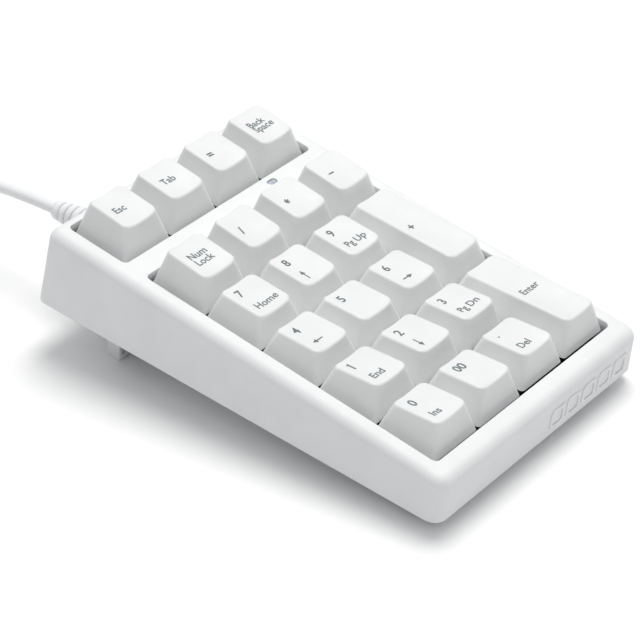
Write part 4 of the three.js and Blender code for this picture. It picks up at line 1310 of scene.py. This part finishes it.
class KEYPAD_OT_feet(bpy.types.Operator):
    """Tilt feet with hinge pins and recessed faces, and the rubber pads"""
    bl_idname = "keypad.feet"
    bl_label = "Feet"

    PIN_LENGTH = 1.1 * MM
    PIN_RADIUS = 1.3 * MM
    PAD = (12 * MM, 6 * MM, 1.3 * MM)
    PAD_SUNK = 0.25 * MM  # into the case
    REAR_PAD_INSET = 8 * MM
    BROAD = 60 * MM * MM  # a larger face of a foot gets a recess

    def execute(self, context):
        for hand in ("left", "right"):
            node = f"{hand}_tilt_foot"
            low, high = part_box(node)
            bm = self.tilt_foot_mesh(low, high, Vector(joint(f"fold_{hand}_foot")["pos_m"]))
            to_piece(f"{hand}_foot", bm, "foot", node, [node])
            self.add_pads(hand)
        return {"FINISHED"}

    def tilt_foot_mesh(self, low, high, hinge):
        """A plate with a rounded hinge end, a recess in each broad face, and a pin at each side."""
        pin = Vector((self.PIN_LENGTH, 0, 0))
        bm = bmesh.new()
        verts = add_block(bm, low + pin, high - pin)
        half = (high.y - low.y) / 2
        lengthwise = [edge for edge in edges_between(verts) if span(edge, 0) > half]
        upper = [edge for edge in lengthwise if edge.verts[0].co.z > hinge.z]
        bevel(bm, upper, half * 0.98, 8)
        lower = [edge for edge in bm.edges if is_level(edge, low.z) and span(edge, 0) > half]
        bevel(bm, lower, 0.7 * MM, 3)
        ends = [face for face in bm.faces if abs(face.normal.x) > 0.9]
        bevel(bm, {edge for face in ends for edge in face.edges}, 0.25 * MM, 2)
        broad = [f for f in bm.faces if abs(f.normal.y) > 0.95 and f.calc_area() > self.BROAD]
        for face in broad:
            bmesh.ops.inset_region(bm, faces=[face], thickness=1.3 * MM)
            inward = face.normal * -0.9 * MM
            bmesh.ops.inset_region(bm, faces=[face], thickness=0.15 * MM)
            bmesh.ops.translate(bm, vec=inward, verts=face.verts)
        start, end = Vector((low.x, hinge.y, hinge.z)), Vector((high.x, hinge.y, hinge.z))
        pins = add_bar(bm, start, end, self.PIN_RADIUS, 24)
        tips = {edge for vertex in pins for edge in vertex.link_edges if span(edge, 0) < FLAT}
        bevel(bm, tips, 0.25 * MM, 2)
        return bm

    def add_pads(self, hand):
        """The front pad, which the keypad stands on, and the rear pad for when the feet are folded."""
        node = f"front_{hand}_rubber_foot"
        low, high = turned_box(node, UNDER_TURN)
        origin = UNDER_TURN.inverted() @ UNDER.translation
        front = (low + high) / 2 - origin
        width, depth, height = self.PAD
        foot = low.z - origin.z
        case_back = CasePlan(bpy.context.scene.keypad.case).back
        back = UNDER.inverted() @ (DECK @ Vector((0, case_back, 0)))
        rear_y = back.y - self.REAR_PAD_INSET - depth / 2
        for end, y, replaced in (("front", front.y, [node]), ("rear", rear_y, [])):
            bm = bmesh.new()
            corner = Vector((front.x - width / 2, y - depth / 2, foot))
            size = Vector((width, depth, height + self.PAD_SUNK))
            rounded_block(bm, corner, corner + size, 1.5 * MM, 0.35 * MM)
            name = f"{end}_{hand}_pad"
            to_piece(name, bm, "rubber", "case", replaced, UNDER)


class KEYPAD_OT_lamp(bpy.types.Operator):
    """The number-lock lamp in the bar between the wells"""
    bl_idname = "keypad.lamp"
    bl_label = "Lamp"

    SUNK = Vector((0, 0, 0.15 * MM))  # below the deck
    ROUND = 0.49  # of the lens's width

    def execute(self, context):
        low, high = deck_box("num_lock_lamp")
        bm = bmesh.new()
        corner = (high.y - low.y) * self.ROUND
        rounded_block(bm, low, high - self.SUNK, corner, 0.3 * MM, 8)
        to_piece("lamp", bm, "lamp", "case", ["num_lock_lamp"], DECK)
        return {"FINISHED"}


class KEYPAD_OT_front_motif(bpy.types.Operator):
    """A plain row of raised key outlines on the front of the case"""
    bl_idname = "keypad.front_motif"
    bl_label = "Front motif"

    COUNT = 5
    SIZE = 6.4 * MM
    PITCH = 7.3 * MM
    FIRST_X = 6.6 * MM
    MIDDLE_Z = -8.2 * MM
    LINE = 1.15 * MM
    PROUD = 0.35 * MM

    def execute(self, context):
        plan = CasePlan(context.scene.keypad.case)
        surface = plan.front - plan.growth(self.MIDDLE_Z)
        bm = bmesh.new()
        half, proud = self.SIZE / 2, self.PROUD
        inner = half - self.LINE
        for number in range(self.COUNT):
            mark, hole = bmesh.new(), bmesh.new()
            low, high = (-half, -half, -proud), (half, half, proud)
            rounded_block(mark, low, high, 1.3 * MM, 0.12 * MM)
            rounded_block(hole, (-inner, -inner, -MM), (inner, inner, MM), 0.7 * MM, 0, 5)
            merge_into(bm, cut_mesh(mark, hole), (self.FIRST_X + number * self.PITCH, 0, 0))
        stand = Matrix.Rotation(math.pi / 2 - plan.sizes.draft, 4, "X")
        place = DECK @ Matrix.Translation((0, surface, self.MIDDLE_Z)) @ stand
        to_piece("front_motif", bm, "case", "case", (), place)
        return {"FINISHED"}


class KEYPAD_OT_inner_parts(bpy.types.Operator):
    """Finishes for the frame's own pieces: plate, board, switches and wires"""
    bl_idname = "keypad.inner_parts"
    bl_label = "Inner parts"

    def execute(self, context):
        finishes = {"switch_plate": "plate", "circuit_board": "board"}
        finishes.update({f"{name}_stabiliser_wire": "wire" for name in ("plus", "enter")})
        finishes.update({f"switch_{name}": "switch" for name in KEYS})
        for node, finish in finishes.items():
            for slot in frame["nodes"][node].material_slots:
                slot.material = material(finish)
        return {"FINISHED"}


# ---- panel and registration

BUILD_STEPS = [
    "stage",
    "lead",
    "keycaps",
    "legends",
    "top_cover",
    "tray",
    "case_screws",
    "feet",
    "lamp",
    "front_motif",
    "inner_parts",
]


class KEYPAD_PT_build(bpy.types.Panel):
    bl_idname = "KEYPAD_PT_build"
    bl_label = "Numeric Keypad"
    bl_space_type = "VIEW_3D"
    bl_region_type = "UI"
    bl_category = "Keypad"

    def draw(self, context):
        for step in BUILD_STEPS:
            self.layout.operator(f"keypad.{step}")


CLASSES = [
    KeycapSizes,
    LegendSizes,
    CaseSizes,
    LeadSizes,
    Colours,
    KeypadSettings,
    KEYPAD_OT_stage,
    KEYPAD_OT_lead,
    KEYPAD_OT_keycaps,
    KEYPAD_OT_legends,
    KEYPAD_OT_top_cover,
    KEYPAD_OT_tray,
    KEYPAD_OT_case_screws,
    KEYPAD_OT_feet,
    KEYPAD_OT_lamp,
    KEYPAD_OT_front_motif,
    KEYPAD_OT_inner_parts,
    KEYPAD_PT_build,
]


def register():
    for item in CLASSES:
        bpy.utils.register_class(item)
    bpy.types.Scene.keypad = PointerProperty(type=KeypadSettings)


def unregister():
    del bpy.types.Scene.keypad
    for item in reversed(CLASSES):
        bpy.utils.unregister_class(item)


def main():
    register()
    for step in BUILD_STEPS:
        getattr(bpy.ops.keypad, step)()


if __name__ == "__main__":
    main()
